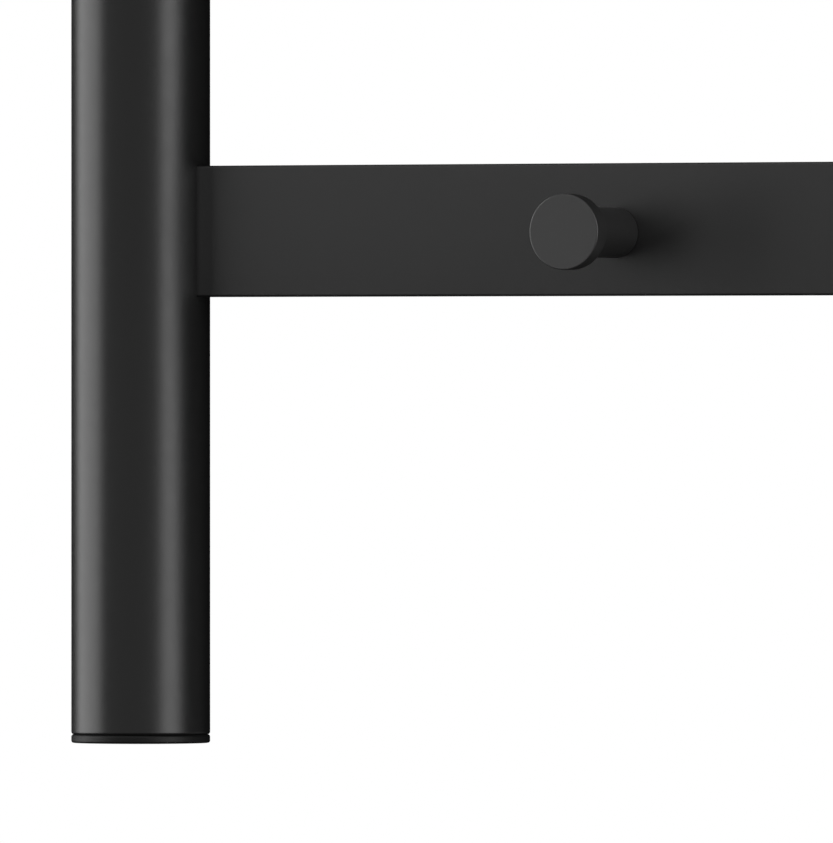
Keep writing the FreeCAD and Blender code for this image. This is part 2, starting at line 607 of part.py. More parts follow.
def gland_nut_front():
    """Front of the gland's nut, whose rim just clears the curved shell."""
    reach = math.sqrt(HOUSING_BORE_R ** 2 - (GLAND_FLANGE_D / math.sqrt(3)) ** 2)
    return Y_TUBE + reach - FIT - GLAND_NUT_T


def gland_nut():
    """The nut that holds the gland from inside."""
    front = gland_nut_front()
    nut = hex_prism(X_RIGHT, front, Z_GLAND, GLAND_FLANGE_D, GLAND_NUT_T, BACK)
    return nut.cut(level_rod(X_RIGHT, Z_GLAND, front, front + GLAND_NUT_T, GLAND_D / 2 + FIT))


def board_nodes():
    """The circuit board and what is soldered to it, with the status window."""
    back = Y_BOARD + BOARD_T
    switch_half = SWITCH_SIDE / 2
    led_front = Y_BOARD - LED_D
    terminal_x = X_RIGHT - HEATER_OFFSET
    terminal_back = Y_TUBE + TERMINAL_PAST_AXIS
    terminal_low = Z_BOARD_TOP - TERMINAL_SIDE
    relay_top = terminal_low - RELAY_GAP
    return {
        "circuit_board": [block((X_RIGHT - BOARD_HALF, Y_BOARD, Z_BOARD),
                                (X_RIGHT + BOARD_HALF, back, Z_BOARD_TOP))],
        "button_switch": [block((X_RIGHT - switch_half, Y_BOARD - SWITCH_HEIGHT, Z_BUTTON - switch_half),
                                (X_RIGHT + switch_half, Y_BOARD, Z_BUTTON + switch_half))],
        "status_led": [level_rod(X_RIGHT, Z_WINDOW, led_front, Y_BOARD, LED_D / 2)],
        "status_window": [level_rod(X_RIGHT, Z_WINDOW, Y_TUBE - TUBE_R, led_front - FIT, WINDOW_D / 2)],
        "power_relay": [block((X_RIGHT - RELAY_WIDTH / 2, back, relay_top - RELAY_HEIGHT),
                              (X_RIGHT + RELAY_WIDTH / 2, back + RELAY_DEPTH, relay_top))],
        "terminal_block": [block((terminal_x - TERMINAL_SIDE / 2, back, terminal_low),
                                 (terminal_x + TERMINAL_SIDE / 2, terminal_back, Z_BOARD_TOP))],
    }


def encoder_nodes():
    """The encoder on the head's floor and the shaft that joins it to the dial."""
    half = ENCODER_SIDE / 2
    top = Z_FLOOR + ENCODER_HEIGHT
    encoder = block((X_RIGHT - half, Y_TUBE - half, Z_FLOOR), (X_RIGHT + half, Y_TUBE + half, top))
    bore_top = top - ENCODER_TOP
    bore = upright_rod(X_RIGHT, Y_TUBE, Z_FLOOR, bore_top, SHAFT_D / 2 + FIT)
    shaft = upright_rod(X_RIGHT, Y_TUBE, Z_BOTTOM + DIAL_WALL, bore_top - LOOSE, SHAFT_D / 2)
    return {"dial_encoder": [encoder.cut(bore)], "dial_shaft": [shaft]}


def head_nodes():
    """Everything under the right upright, apart from the element."""
    nodes = {
        "thermostat_dial": [dial()],
        "dial_pointer": [dial_pointer()],
        "head_housing": [housing()],
        "head_collar": [collar()],
        "head_screws": [head_screw(side) for side in (-1, 1)],
        "power_button": [push_button()],
        "cord_gland": [gland()],
        "gland_nut": [gland_nut()],
    }
    nodes.update(board_nodes())
    nodes.update(encoder_nodes())
    return nodes


# ---------------------------------------------------------------- write the parts
def write(nodes):
    """One STEP file for each node; a group is a compound of its solids."""
    os.makedirs("parts", exist_ok=True)
    for name, solids in nodes.items():
        shape = solids[0] if len(solids) == 1 else Part.makeCompound(solids)
        shape.exportStep(os.path.join("parts", name + ".step"))


for group in (frame_nodes(), bracket_nodes(), port_nodes(), element_nodes(), head_nodes()):
    write(group)
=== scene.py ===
"""Looks of a wall-hung electric towel warmer rack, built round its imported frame.

The wall is the plane Y = 0. +X is to the right of someone facing the rack, -Y points into the
room and +Z is up. Everything is in metres; a size in millimetres is multiplied by MM.
"""
import logging
import math
from collections.abc import Callable, Sequence
from dataclasses import dataclass
from enum import Enum
from typing import Any

import bmesh
import bpy
from mathutils import Matrix, Vector


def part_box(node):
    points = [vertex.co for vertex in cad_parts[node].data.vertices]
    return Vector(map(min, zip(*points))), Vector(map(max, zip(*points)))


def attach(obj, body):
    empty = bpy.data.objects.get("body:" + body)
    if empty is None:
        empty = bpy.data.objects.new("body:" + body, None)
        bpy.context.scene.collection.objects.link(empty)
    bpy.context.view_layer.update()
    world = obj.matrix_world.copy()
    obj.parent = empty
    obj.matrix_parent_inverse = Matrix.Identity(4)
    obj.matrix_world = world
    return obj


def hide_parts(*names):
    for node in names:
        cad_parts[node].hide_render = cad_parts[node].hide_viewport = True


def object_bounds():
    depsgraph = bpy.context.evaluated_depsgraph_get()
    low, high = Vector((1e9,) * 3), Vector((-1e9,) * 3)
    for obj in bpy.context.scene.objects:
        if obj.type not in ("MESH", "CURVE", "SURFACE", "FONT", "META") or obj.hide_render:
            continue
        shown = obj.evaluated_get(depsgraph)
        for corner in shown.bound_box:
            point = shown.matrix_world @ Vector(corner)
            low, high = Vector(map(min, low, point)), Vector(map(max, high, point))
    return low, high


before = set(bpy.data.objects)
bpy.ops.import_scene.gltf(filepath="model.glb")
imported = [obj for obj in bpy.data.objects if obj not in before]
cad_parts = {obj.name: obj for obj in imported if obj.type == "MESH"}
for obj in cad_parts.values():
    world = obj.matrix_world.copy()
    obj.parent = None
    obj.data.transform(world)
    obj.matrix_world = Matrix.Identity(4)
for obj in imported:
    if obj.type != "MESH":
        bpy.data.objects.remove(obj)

MM = 0.001
CAD_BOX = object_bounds()
SMOOTH_LIMIT = math.radians(25)
SAME_POINT = 0.0001 * MM     # points nearer than this are one
SAME_CAD_POINT = 0.001 * MM  # the same for copies of CAD meshes
CHAMFER_ANGLE = math.radians(30)
CHAMFER_FACE = 0.985         # a chamfered face's circle, as a share of the width across flats
THREAD_DEPTH = 0.6           # as a share of the pitch
Corner = tuple[float, float, float]
Reshape = Callable[[float, float, float], float]
log = logging.getLogger("towel_warmer")


class Axis(Enum):
    """The direction a turned piece is turned about."""

    X = "X"
    Y = "Y"
    Z = "Z"

    def place(self, across: float, aside: float, along: float) -> Vector:
        """Puts a point of the turned piece's own axes into the rack's axes.

        Args:
            across: Distance from the axis.
            aside: Distance from the axis the other way.
            along: Distance along the axis.

        Returns:
            The point in the frame.
        """
        if self is Axis.X:
            return Vector((along, across, aside))
        if self is Axis.Y:
            return Vector((aside, along, across))
        return Vector((across, aside, along))


class Body(Enum):
    """The bodies that pieces ride on."""

    FRAME = "frame"
    WALL = "wall_mounts"
    DIAL = "thermostat_dial"
    BUTTON = "power_button"
    BLEED = "bleed_screw"


# ------------------------------------------------------------------ nodes
def add_node(tree: bpy.types.NodeTree, kind: str, values: dict | None = None, **settings: Any) -> Any:
    """Adds a node, sets it up and joins it to others.

    Args:
        tree: The shader or geometry tree.
        kind: The node's type name.
        values: Input name or number to a constant or to the output that feeds it.
        **settings: Properties of the node itself.

    Returns:
        The new node.
    """
    node = tree.nodes.new(kind)
    for name, setting in settings.items():
        setattr(node, name, setting)
    for name, value in (values or {}).items():
        if isinstance(value, bpy.types.NodeSocket):
            tree.links.new(value, node.inputs[name])
        else:
            node.inputs[name].default_value = value
    return node


def linear(colour: str) -> tuple[float, float, float, float]:
    """Turns an sRGB hex colour into linear light.

    Args:
        colour: The colour as #rrggbb.

    Returns:
        The colour in scene-linear light, with full cover.
    """
    parts = [int(colour[start:start + 2], 16) / 255 for start in (1, 3, 5)]
    red, green, blue = (p / 12.92 if p <= 0.04045 else ((p + 0.055) / 1.055) ** 2.4 for p in parts)
    return red, green, blue, 1.0


# ------------------------------------------------------------------ finishes
@dataclass(frozen=True)
class Finish:
    """A surface finish. Each kind adds its own pattern to the common shader."""

    name: str
    colour: str
    roughness: float
    slot: str
    ior: float = 1.5
    metallic: float = 0.0
    grain_mm: float = 0.5
    grain_height_mm: float = 0.01
    spread: float = 0.06

    def build(self) -> bpy.types.Material:
        """Makes the material, or finds it if it is there already.

        Returns:
            The material.
        """
        made = bpy.data.materials.get(self.name)
        if made:
            return made
        material = bpy.data.materials.new(self.name)
        material.use_nodes = True
        tree = material.node_tree
        tree.nodes.clear()
        shader = add_node(tree, "ShaderNodeBsdfPrincipled", {
            "Base Color": linear(self.colour), "Roughness": self.roughness,
            "IOR": self.ior, "Metallic": self.metallic})
        where = add_node(tree, "ShaderNodeTexCoord").outputs["Object"]
        self.pattern(tree, shader, where)
        add_node(tree, "ShaderNodeOutputMaterial", {"Surface": shader.outputs[0]})
        return material

    def pattern(self, tree: bpy.types.NodeTree, shader: Any, where: Any) -> None:
        """Adds what this finish shows; here an even fine grain.

        Args:
            tree: The material's tree.
            shader: Its principled shader.
            where: The coordinates on the piece.
        """
        grain = add_node(tree, "ShaderNodeTexNoise", {
            "Vector": where, "Scale": 1 / (self.grain_mm * MM), "Detail": 2.0, "Roughness": 0.6})
        self.tint(tree, shader, grain.outputs[0])
        self.relief(tree, shader, grain.outputs[0], self.grain_height_mm)

    def tint(self, tree: bpy.types.NodeTree, shader: Any, amount: Any) -> None:
        """Varies the colour a little either way round the finish's own.

        Args:
            tree: The material's tree.
            shader: Its principled shader.
            amount: What drives the change, from 0 to 1.
        """
        base = Vector(linear(self.colour)[:3])
        light, dark = (base * (1 + self.spread)), (base * (1 - self.spread))
        ramp = add_node(tree, "ShaderNodeMix", {
            "Factor": amount, "A": (*dark, 1.0), "B": (*light, 1.0)}, data_type="RGBA")
        tree.links.new(ramp.outputs["Result"], shader.inputs["Base Color"])

    def relief(self, tree: bpy.types.NodeTree, shader: Any, height: Any, depth_mm: float) -> None:
        """Adds relief of a real depth to the shader's normal.

        Args:
            tree: The material's tree.
            shader: Its principled shader.
            height: What drives the relief, from 0 to 1.
            depth_mm: Its height where that is 1.
        """
        bump = add_node(tree, "ShaderNodeBump", {
            "Height": height, "Distance": depth_mm * MM, "Strength": 1.0})
        tree.links.new(bump.outputs[0], shader.inputs["Normal"])


@dataclass(frozen=True)
class PowderCoat(Finish):
    """Baked polyester powder: an even matt film with a fine grain and a faint orange peel."""

    peel_mm: float = 3.5
    peel_height_mm: float = 0.012

    def pattern(self, tree: bpy.types.NodeTree, shader: Any, where: Any) -> None:
        """Adds the fine grain, the orange peel and a slight change of sheen.

        Args:
            tree: The material's tree.
            shader: Its principled shader.
            where: The coordinates on the piece.
        """
        grain = add_node(tree, "ShaderNodeTexNoise", {
            "Vector": where, "Scale": 1 / (self.grain_mm * MM), "Detail": 3.0, "Roughness": 0.7})
        peel = add_node(tree, "ShaderNodeTexNoise", {
            "Vector": where, "Scale": 1 / (self.peel_mm * MM), "Detail": 1.0, "Roughness": 0.4})
        self.tint(tree, shader, grain.outputs[0])
        sheen = add_node(tree, "ShaderNodeMapRange", {
            "Value": peel.outputs[0], "To Min": self.roughness - 0.03, "To Max": self.roughness + 0.03})
        tree.links.new(sheen.outputs[0], shader.inputs["Roughness"])
        share = self.grain_height_mm / self.peel_height_mm
        height = add_node(tree, "ShaderNodeMath", {
            0: grain.outputs[0], 1: share, 2: peel.outputs[0]}, operation="MULTIPLY_ADD")
        self.relief(tree, shader, height.outputs[0], self.peel_height_mm)


@dataclass(frozen=True)
class MouldedPlastic(Finish):
    """Injection-moulded ABS from a spark-eroded mould: small rounded pits, low even sheen."""

    def pattern(self, tree: bpy.types.NodeTree, shader: Any, where: Any) -> None:
        """Adds the pits of the mould.

        Args:
            tree: The material's tree.
            shader: Its principled shader.
            where: The coordinates on the piece.
        """
        pits = add_node(tree, "ShaderNodeTexVoronoi", {
            "Vector": where, "Scale": 1 / (self.grain_mm * MM)}, feature="SMOOTH_F1")
        self.tint(tree, shader, pits.outputs["Distance"])
        self.relief(tree, shader, pits.outputs["Distance"], self.grain_height_mm)


@dataclass(frozen=True)
class TurnedMetal(Finish):
    """Turned or drawn metal: fine even lines round or along the piece, with a soft sheen."""

    across: Axis = Axis.Z

    def pattern(self, tree: bpy.types.NodeTree, shader: Any, where: Any) -> None:
        """Adds tool lines, wavered a little, and changes the sheen with them.

        Args:
            tree: The material's tree.
            shader: Its principled shader.
            where: The coordinates on the piece.
        """
        lines = add_node(tree, "ShaderNodeTexWave", {
            "Vector": where, "Scale": 1 / (self.grain_mm * MM) / (2 * math.pi), "Distortion": 0.6,
            "Detail": 2.0, "Detail Scale": 2.0}, wave_type="BANDS", bands_direction=self.across.value)
        self.tint(tree, shader, lines.outputs["Fac"])
        sheen = add_node(tree, "ShaderNodeMapRange", {
            "Value": lines.outputs["Fac"], "To Min": self.roughness - 0.05, "To Max": self.roughness + 0.05})
        tree.links.new(sheen.outputs[0], shader.inputs["Roughness"])
        self.relief(tree, shader, lines.outputs["Fac"], self.grain_height_mm)


@dataclass(frozen=True)
class PlatedMetal(Finish):
    """Zinc or nickel plating: bright, with a cloudy change of sheen and tone."""

    def pattern(self, tree: bpy.types.NodeTree, shader: Any, where: Any) -> None:
        """Adds the clouds of the plating bath and a faint roughness.

        Args:
            tree: The material's tree.
            shader: Its principled shader.
            where: The coordinates on the piece.
        """
        cloud = add_node(tree, "ShaderNodeTexNoise", {
            "Vector": where, "Scale": 1 / (self.grain_mm * MM), "Detail": 4.0, "Roughness": 0.55})
        self.tint(tree, shader, cloud.outputs[0])
        sheen = add_node(tree, "ShaderNodeMapRange", {
            "Value": cloud.outputs[0], "To Min": self.roughness - 0.06, "To Max": self.roughness + 0.06})
        tree.links.new(sheen.outputs[0], shader.inputs["Roughness"])
        self.relief(tree, shader, cloud.outputs[0], self.grain_height_mm)


@dataclass(frozen=True)
class SolderMask(Finish):
    """Glass-fibre board under green mask: copper tracks show as raised lighter bands."""

    track_colour: str = "#2f7a45"

    def pattern(self, tree: bpy.types.NodeTree, shader: Any, where: Any) -> None:
        """Adds tracks as the joints of a brick pattern.

        Args:
            tree: The material's tree.
            shader: Its principled shader.
            where: The coordinates on the piece.
        """
        tracks = add_node(tree, "ShaderNodeTexBrick", {
            "Vector": where, "Scale": 1 / (self.grain_mm * MM), "Color1": linear(self.colour),
            "Color2": linear(self.colour), "Mortar": linear(self.track_colour), "Mortar Size": 0.04})
        tree.links.new(tracks.outputs["Color"], shader.inputs["Base Color"])
        self.relief(tree, shader, tracks.outputs["Fac"], self.grain_height_mm)


@dataclass(frozen=True)
class ClearPlastic(Finish):
    """Clear polycarbonate, polished in the mould, with faint flow lines."""

    clearness: float = 0.7

    def pattern(self, tree: bpy.types.NodeTree, shader: Any, where: Any) -> None:
        """Lets light through and adds the flow lines.

        Args:
            tree: The material's tree.
            shader: Its principled shader.
            where: The coordinates on the piece.
        """
        shader.inputs["Transmission Weight"].default_value = self.clearness
        flow = add_node(tree, "ShaderNodeTexNoise", {"Vector": where, "Scale": 1 / (self.grain_mm * MM)})
        self.tint(tree, shader, flow.outputs[0])
        self.relief(tree, shader, flow.outputs[0], self.grain_height_mm)


class Coat(Enum):
    """Every finish of the rack, in a maker's words.

    Coats and plastics are too fine in grain to show from a step away. Their grain is drawn at
    about 0.5 mm, some three times as coarse as the real one, so that close views show it.
    """

    # Sprayed and baked: deep black with two soft long streaks of light down a round tube.
    TUBE = PowderCoat("matt black powder coat on tube", "#151515", 0.355, "matt_black_coat")
    # The same powder on a small pressed part: rougher, and set darker in colour and sheen than on the tube as
    # painted shade, so the cap stands off from the tube.
    CAP = PowderCoat("matt black powder coat on end cap", "#111111", 0.5, "matt_black_coat", ior=1.32)
    # The same powder on a flat face: an even dark grey with no streak, set lighter in colour and sheen than
    # on the tube as painted light.
    FLAT = PowderCoat("matt black powder coat on flat bar", "#1b1b1b", 0.42, "matt_black_coat", ior=1.58)
    # The same powder on turned pegs, set lighter in colour and sheen than on the tube as painted light: a
    # lighter face; the fine bright rim comes from the rounded rim.
    PEG = PowderCoat("matt black powder coat on turned peg", "#202020", 0.45, "matt_black_coat", ior=1.72)
    # Moulded against a spark-eroded tool: a close, low sheen with tiny pits.
    MOULDED = MouldedPlastic("spark-textured black ABS", "#1e1e1f", 0.48, "head_plastic",
                             grain_mm=0.4, grain_height_mm=0.015)
    # Plated pressings and fasteners: a cool, bright, slightly cloudy metal.
    ZINC = PlatedMetal("bright zinc plated steel", "#b9bab6", 0.32, "zinc_steel", metallic=1.0,
                       grain_mm=2.5, grain_height_mm=0.004, spread=0.08)
    # Fittings plated to go with the black rack: a dark, warm metal with sharp facets.
    NICKEL = PlatedMetal("black nickel plated brass", "#4c4a47", 0.34, "nickel_brass", metallic=1.0,
                         grain_mm=4.0, grain_height_mm=0.002, spread=0.04)
    # Moulded seals: dead matt, a little greyer than the coat.
    RUBBER = Finish("moulded black EPDM rubber", "#191919", 0.75, "seal_rubber",
                    grain_mm=0.3, grain_height_mm=0.01)
    # Drawn tube of the heater and sensor: fine lines round it and a soft gleam.
    STAINLESS = TurnedMetal("drawn stainless steel sheath", "#a9a8a4", 0.35, "element_steel", metallic=1.0,
                            grain_mm=0.25, grain_height_mm=0.003)
    # Extruded sleeve on the leads: a dull brick red.
    SILICONE = Finish("red silicone wire sleeve", "#8c2b22", 0.6, "lead_insulation", grain_mm=0.4)
    # Second-shot inlay of marks: plain off-white that reads against the black.
    WHITE = MouldedPlastic("white inlaid plastic", "#d9d9d5", 0.45, "mark_white", grain_mm=0.4)
    # Window and lamp, polished in the mould: clear, with sharp small reflections.
    CLEAR = ClearPlastic("clear polycarbonate", "#e6e9e9", 0.08, "clear_plastic", grain_mm=2.0,
                         grain_height_mm=0.002, spread=0.02)
    # Board under green mask: glossy green with raised lighter tracks.
    BOARD = SolderMask("green solder-masked glass fibre", "#1d5a30", 0.4, "board_green",
                       grain_mm=4.0, grain_height_mm=0.035)
    # Cases of bought-in components: a neutral dark grey with a fine grain.
    CASE = MouldedPlastic("moulded black component case", "#2b2b2d", 0.5, "component_plastic", grain_mm=0.3)


# ------------------------------------------------------------------ meshes
def rounded(corners: Sequence[Corner], closed: bool, steps: int = 5, hold: float = 0.12 * MM) -> list[Vector]:
    """Rounds the corners of an outline and holds its straights flat beside them.

    Args:
        corners: (radius, along, rounding) of each corner.
        closed: Whether the outline joins up with itself.
        steps: Spans in each rounding.
        hold: How far from a rounding the straight gets an extra point.

    Returns:
        The points of the outline, as (radius, along).
    """
    points: list[Vector] = []
    count = len(corners)
    for index, (radius, along, size) in enumerate(corners):
        here = Vector((radius, along))
        if size == 0 or (not closed and index in (0, count - 1)):
            points.append(here)
            continue
        before = Vector(corners[index - 1][:2]) - here
        after = Vector(corners[(index + 1) % count][:2]) - here
        half = before.angle(after) / 2
        reach = size / math.tan(half)
        start, end = here + before.normalized() * reach, here + after.normalized() * reach
        centre = here + (before.normalized() + after.normalized()).normalized() * (size / math.sin(half))
        if before.length > reach + 2 * hold:
            points.append(start + before.normalized() * hold)
        sweep = (start - centre).angle_signed(end - centre)
        for step in range(steps + 1):
            turn = Matrix.Rotation(-sweep * step / steps, 2)
            points.append(centre + turn @ (start - centre))
        if after.length > reach + 2 * hold:
            points.append(end + after.normalized() * hold)
    return points


def threaded(radius: float, low: float, high: float, pitch: float) -> list[Corner]:
    """Corners of a thread's ridges, run as rings, from low to high along the piece.

    Args:
        radius: Radius over the crests.
        low: Where the thread starts along its axis.
        high: Where it ends.
        pitch: Distance from crest to crest.

    Returns:
        The corners of its outline.
    """
    depth = THREAD_DEPTH * pitch
    turns = max(1, int(abs(high - low) / pitch))
    step = (high - low) / turns
    ridges: list[Corner] = []
    for turn in range(turns):
        start = low + turn * step
        ridges += [(radius - depth, start + 0.1 * step, 0.0), (radius, start + 0.5 * step, 0.0)]
    return ridges + [(radius - depth, high - 0.1 * step, 0.0)]


def turned(corners: Sequence[Corner], axis: Axis, centre: Vector, segments: int = 128,
           closed: bool = False, reshape: Reshape | None = None) -> bpy.types.Mesh:
    """Turns an outline into a closed mesh.

    Args:
        corners: (radius, along, rounding) of each corner; along is a place on the axis.
        axis: The direction of the axis.
        centre: A point on the axis; its part along the axis isn't used.
        segments: Faces round the piece.
        closed: True for a ring or tube, whose outline joins up with itself.
        reshape: Changes a point's radius from its angle, radius and place along.

    Returns:
        The mesh, with its place in it.
    """
    outline = rounded(corners, closed)
    work = bmesh.new()
    rings = []
    for radius, along in outline:
        if radius < SAME_POINT:
            rings.append([work.verts.new(axis.place(0, 0, along))])
            continue
        ring = []
        for step in range(segments):
            angle = 2 * math.pi * step / segments
            size = reshape(angle, radius, along) if reshape else radius
            ring.append(work.verts.new(axis.place(size * math.cos(angle), size * math.sin(angle), along)))
        rings.append(ring)
    pairs = list(zip(rings, rings[1:] + rings[:1])) if closed else list(zip(rings, rings[1:]))
    for one, two in pairs:
        for step in range(segments):
            after = (step + 1) % segments
            if len(one) == 1 and len(two) == 1:
                continue
            if len(one) == 1:
                work.faces.new((one[0], two[after], two[step]))
            elif len(two) == 1:
                work.faces.new((one[step], one[after], two[0]))
            else:
                work.faces.new((one[step], one[after], two[after], two[step]))
    off_axis = Vector(centre)
    off_axis["XYZ".index(axis.value)] = 0.0
    bmesh.ops.translate(work, verts=work.verts, vec=off_axis)
    bmesh.ops.remove_doubles(work, verts=work.verts, dist=SAME_POINT)
    bmesh.ops.recalc_face_normals(work, faces=work.faces)
    return finish_mesh(work)


def finish_mesh(work: bmesh.types.BMesh) -> bpy.types.Mesh:
    """Writes a mesh being worked on into a new mesh with smooth faces and sharp edges.

    Args:
        work: The mesh under work; it is freed.

    Returns:
        The finished mesh.
    """
    mesh = bpy.data.meshes.new("work")
    work.to_mesh(mesh)
    work.free()
    return smoothed(mesh)


def smoothed(mesh: bpy.types.Mesh) -> bpy.types.Mesh:
    """Shades a mesh smooth, apart from its sharp edges, and drops normals that it was given.

    Args:
        mesh: The mesh to shade.

    Returns:
        The same mesh.
    """
    given = mesh.attributes.get("custom_normal")
    if given:
        mesh.attributes.remove(given)
    mesh.shade_smooth()
    mesh.set_sharp_from_angle(angle=SMOOTH_LIMIT)
    return mesh


def chamfered(across_flats: float, low: float, high: float, steps: int = 6) -> list[Corner]:
    """Corners of a hexagon's body from low to high along its axis, with both faces chamfered.

    Args:
        across_flats: Width across the flats.
        low: Where the hexagon starts along its axis.
        high: Where it ends.
        steps: Spans along each chamfer.

    Returns:
        The corners of its outline, before the flats are cut.
    """
    corner, face = across_flats / math.sqrt(3), across_flats / 2 * CHAMFER_FACE
    depth = (corner - face) * math.tan(CHAMFER_ANGLE)
    rise = [(face + (corner - face) * step / steps, depth * step / steps) for step in range(steps + 1)]
    foot = [(radius, low + along, 0.0) for radius, along in rise]
    return foot + [(radius, high - along, 0.0) for radius, along in reversed(rise)]


def hexagonal(across_flats: float, low: float, high: float, corner_at: float) -> Reshape:
    """Cuts a turned piece to a hexagon between two places along its axis.

    Args:
        across_flats: Size of the hexagon.
        low: Where it starts along the axis.
        high: Where it ends.
        corner_at: Angle of one of its corners.

    Returns:
        What gives the radius of a point once the flats are cut.
    """

    def cut(angle: float, radius: float, along: float) -> float:
        """The radius after the flats are cut.

        Args:
            angle: Angle of the point round the axis.
            radius: Its radius before the cut.
            along: Its place along the axis.

        Returns:
            The radius after the cut.
        """
        if not low - SAME_POINT <= along <= high + SAME_POINT:
            return radius
        from_flat = (angle - corner_at) % (math.pi / 3) - math.pi / 6
        return min(radius, across_flats / 2 / math.cos(from_flat))

    return cut


def refined(node: str) -> bpy.types.Mesh:
    """A merged, smooth-shaded copy of a CAD node's mesh, for shapes with cross holes and saddles.

    Args:
        node: The CAD node to copy.

    Returns:
        The copy, shaded for a close look.
    """
    work = bmesh.new()
    work.from_mesh(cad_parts[node].data)
    bmesh.ops.remove_doubles(work, verts=work.verts, dist=SAME_CAD_POINT)
    return finish_mesh(work)


def make_piece(name: str, mesh: bpy.types.Mesh, coat: Coat, body: Body, *nodes: str) -> bpy.types.Object:
    """Makes an object of a mesh, dresses it and joins it to its body.

    Args:
        name: The piece's name.
        mesh: Its mesh, in the rack's own frame.
        coat: Its finish.
        body: The body it rides on.
        *nodes: The CAD nodes that it stands for.

    Returns:
        The new object.
    """
    mesh.name = name
    piece = bpy.data.objects.new(name, mesh)
    bpy.context.scene.collection.objects.link(piece)
    mesh.materials.clear()
    mesh.materials.append(coat.value.build())
    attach(piece, body.value)
    if nodes:
        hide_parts(*nodes)
    log.info("%s: %d faces, %s", name, len(mesh.polygons), coat.value.name)
    return piece


# ------------------------------------------------------------------ geometry nodes
class NodeBuild:
    """A geometry tree with named inputs, which makes one mesh and is then cleared away."""

    KINDS = {"Distance": "NodeSocketFloat", "Count": "NodeSocketInt", "Place": "NodeSocketVector",
             "Template": "NodeSocketObject", "Coat": "NodeSocketMaterial"}

    def __init__(self, name: str, inputs: dict[str, str]) -> None:
        """Starts the tree.

        Args:
            name: The tree's name.
            inputs: Input name to its kind, a key of KINDS.
        """
        self.tree = bpy.data.node_groups.new(name, "GeometryNodeTree")
        self.sockets = {}
        for title, kind in inputs.items():
            self.sockets[title] = self.tree.interface.new_socket(
                title, in_out="INPUT", socket_type=self.KINDS[kind]).identifier
        self.tree.interface.new_socket("Geometry", in_out="OUTPUT", socket_type="NodeSocketGeometry")
        self.inputs = self.tree.nodes.new("NodeGroupInput").outputs

    def add(self, kind: str, values: dict | None = None, **settings: Any) -> Any:
        """Adds a node and returns its first output."""
        return add_node(self.tree, kind, values, **settings).outputs[0]

    def math(self, operation: str, one: Any, two: Any = 0.0) -> Any:
        """Works out one sum of two values."""
        return self.add("ShaderNodeMath", {0: one, 1: two}, operation=operation)

    def end(self, shape: Any) -> None:
        """Ends the tree in plain geometry with its material set.

        Args:
            shape: The shape to hand out.
        """
        real = self.add("GeometryNodeRealizeInstances", {"Geometry": shape})
        coated = self.add("GeometryNodeSetMaterial", {"Geometry": real, "Material": self.inputs["Coat"]})
        add_node(self.tree, "NodeGroupOutput", {0: coated})

    def mesh(self, values: dict[str, Any]) -> bpy.types.Mesh:
        """Runs the tree once.

        Args:
            values: Input name to its value.

        Returns:
            The mesh it makes, smooth-shaded.
        """
        carrier = bpy.data.objects.new("carrier", bpy.data.meshes.new("carrier"))
        bpy.context.scene.collection.objects.link(carrier)
        modifier = carrier.modifiers.new("build", "NODES")
        modifier.node_group = self.tree
        for title, value in values.items():
            modifier[self.sockets[title]] = value
        seen = carrier.evaluated_get(bpy.context.evaluated_depsgraph_get())
        made = bpy.data.meshes.new_from_object(seen)
        carrier.modifiers.remove(modifier)
        bpy.data.objects.remove(carrier)
        return smoothed(made)


def grid_build() -> NodeBuild:
    """A tree that puts a template at each crossing of an upright grid.

    Returns:
        The tree, with its inputs named.
    """
    build = NodeBuild("grid of pieces", {"Template": "Template", "Columns": "Count", "Rows": "Count",
                                         "Width": "Distance", "Height": "Distance", "Centre": "Place",
                                         "Coat": "Coat"})
    given = build.inputs
    grid = build.add("GeometryNodeMeshGrid", {
        "Size X": given["Width"], "Size Y": given["Height"],
        "Vertices X": given["Columns"], "Vertices Y": given["Rows"]})
    upright = build.add("GeometryNodeTransform", {
        "Geometry": grid, "Rotation": (math.pi / 2, 0, 0), "Translation": given["Centre"]})
    template = add_node(build.tree, "GeometryNodeObjectInfo", {"Object": given["Template"]})
    build.end(build.add("GeometryNodeInstanceOnPoints", {
        "Points": upright, "Instance": template.outputs["Geometry"]}))
    return build


def on_grid(template: bpy.types.Mesh, columns: int, rows: int, width: float, height: float,
            centre: Vector, coat: Coat) -> bpy.types.Mesh:
    """Repeats a mesh on an upright grid and clears the template away.

    Args:
        template: The mesh of one piece, about the grid's plane.
        columns: Pieces across.
        rows: Pieces up.
        width: From the first column to the last.
        height: From the lowest row to the highest.
        centre: The middle of the grid.
        coat: The finish.

    Returns:
        One mesh with every piece.
    """
    holder = bpy.data.objects.new("template", template)
    bpy.context.scene.collection.objects.link(holder)
    made = grid_build().mesh({"Template": holder, "Columns": columns, "Rows": rows, "Width": width,
                              "Height": height, "Centre": centre, "Coat": coat.value.build()})
    bpy.data.objects.remove(holder)
    return made


# ------------------------------------------------------------------ the upright frame
@dataclass
class Upright:
    """One upright tube, hollow. Its ends are rounded enough for the groove at a cap to show."""

    node: str
    wall: float = 2.0 * MM
    end_round: float = 0.8 * MM
    segments: int = 192

    def build(self) -> bpy.types.Object:
        """Makes the tube from its box.

        Returns:
            The piece.
        """
        low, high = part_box(self.node)
        radius = (high.x - low.x) / 2
        bore = radius - self.wall
        corners = [(radius, low.z, self.end_round), (radius, high.z, self.end_round),
                   (bore, high.z, 0.0), (bore, low.z, 0.0)]
        mesh = turned(corners, Axis.Z, (low + high) / 2, self.segments, closed=True)
        return make_piece(self.node + "_tube", mesh, Coat.TUBE, Body.FRAME, self.node)


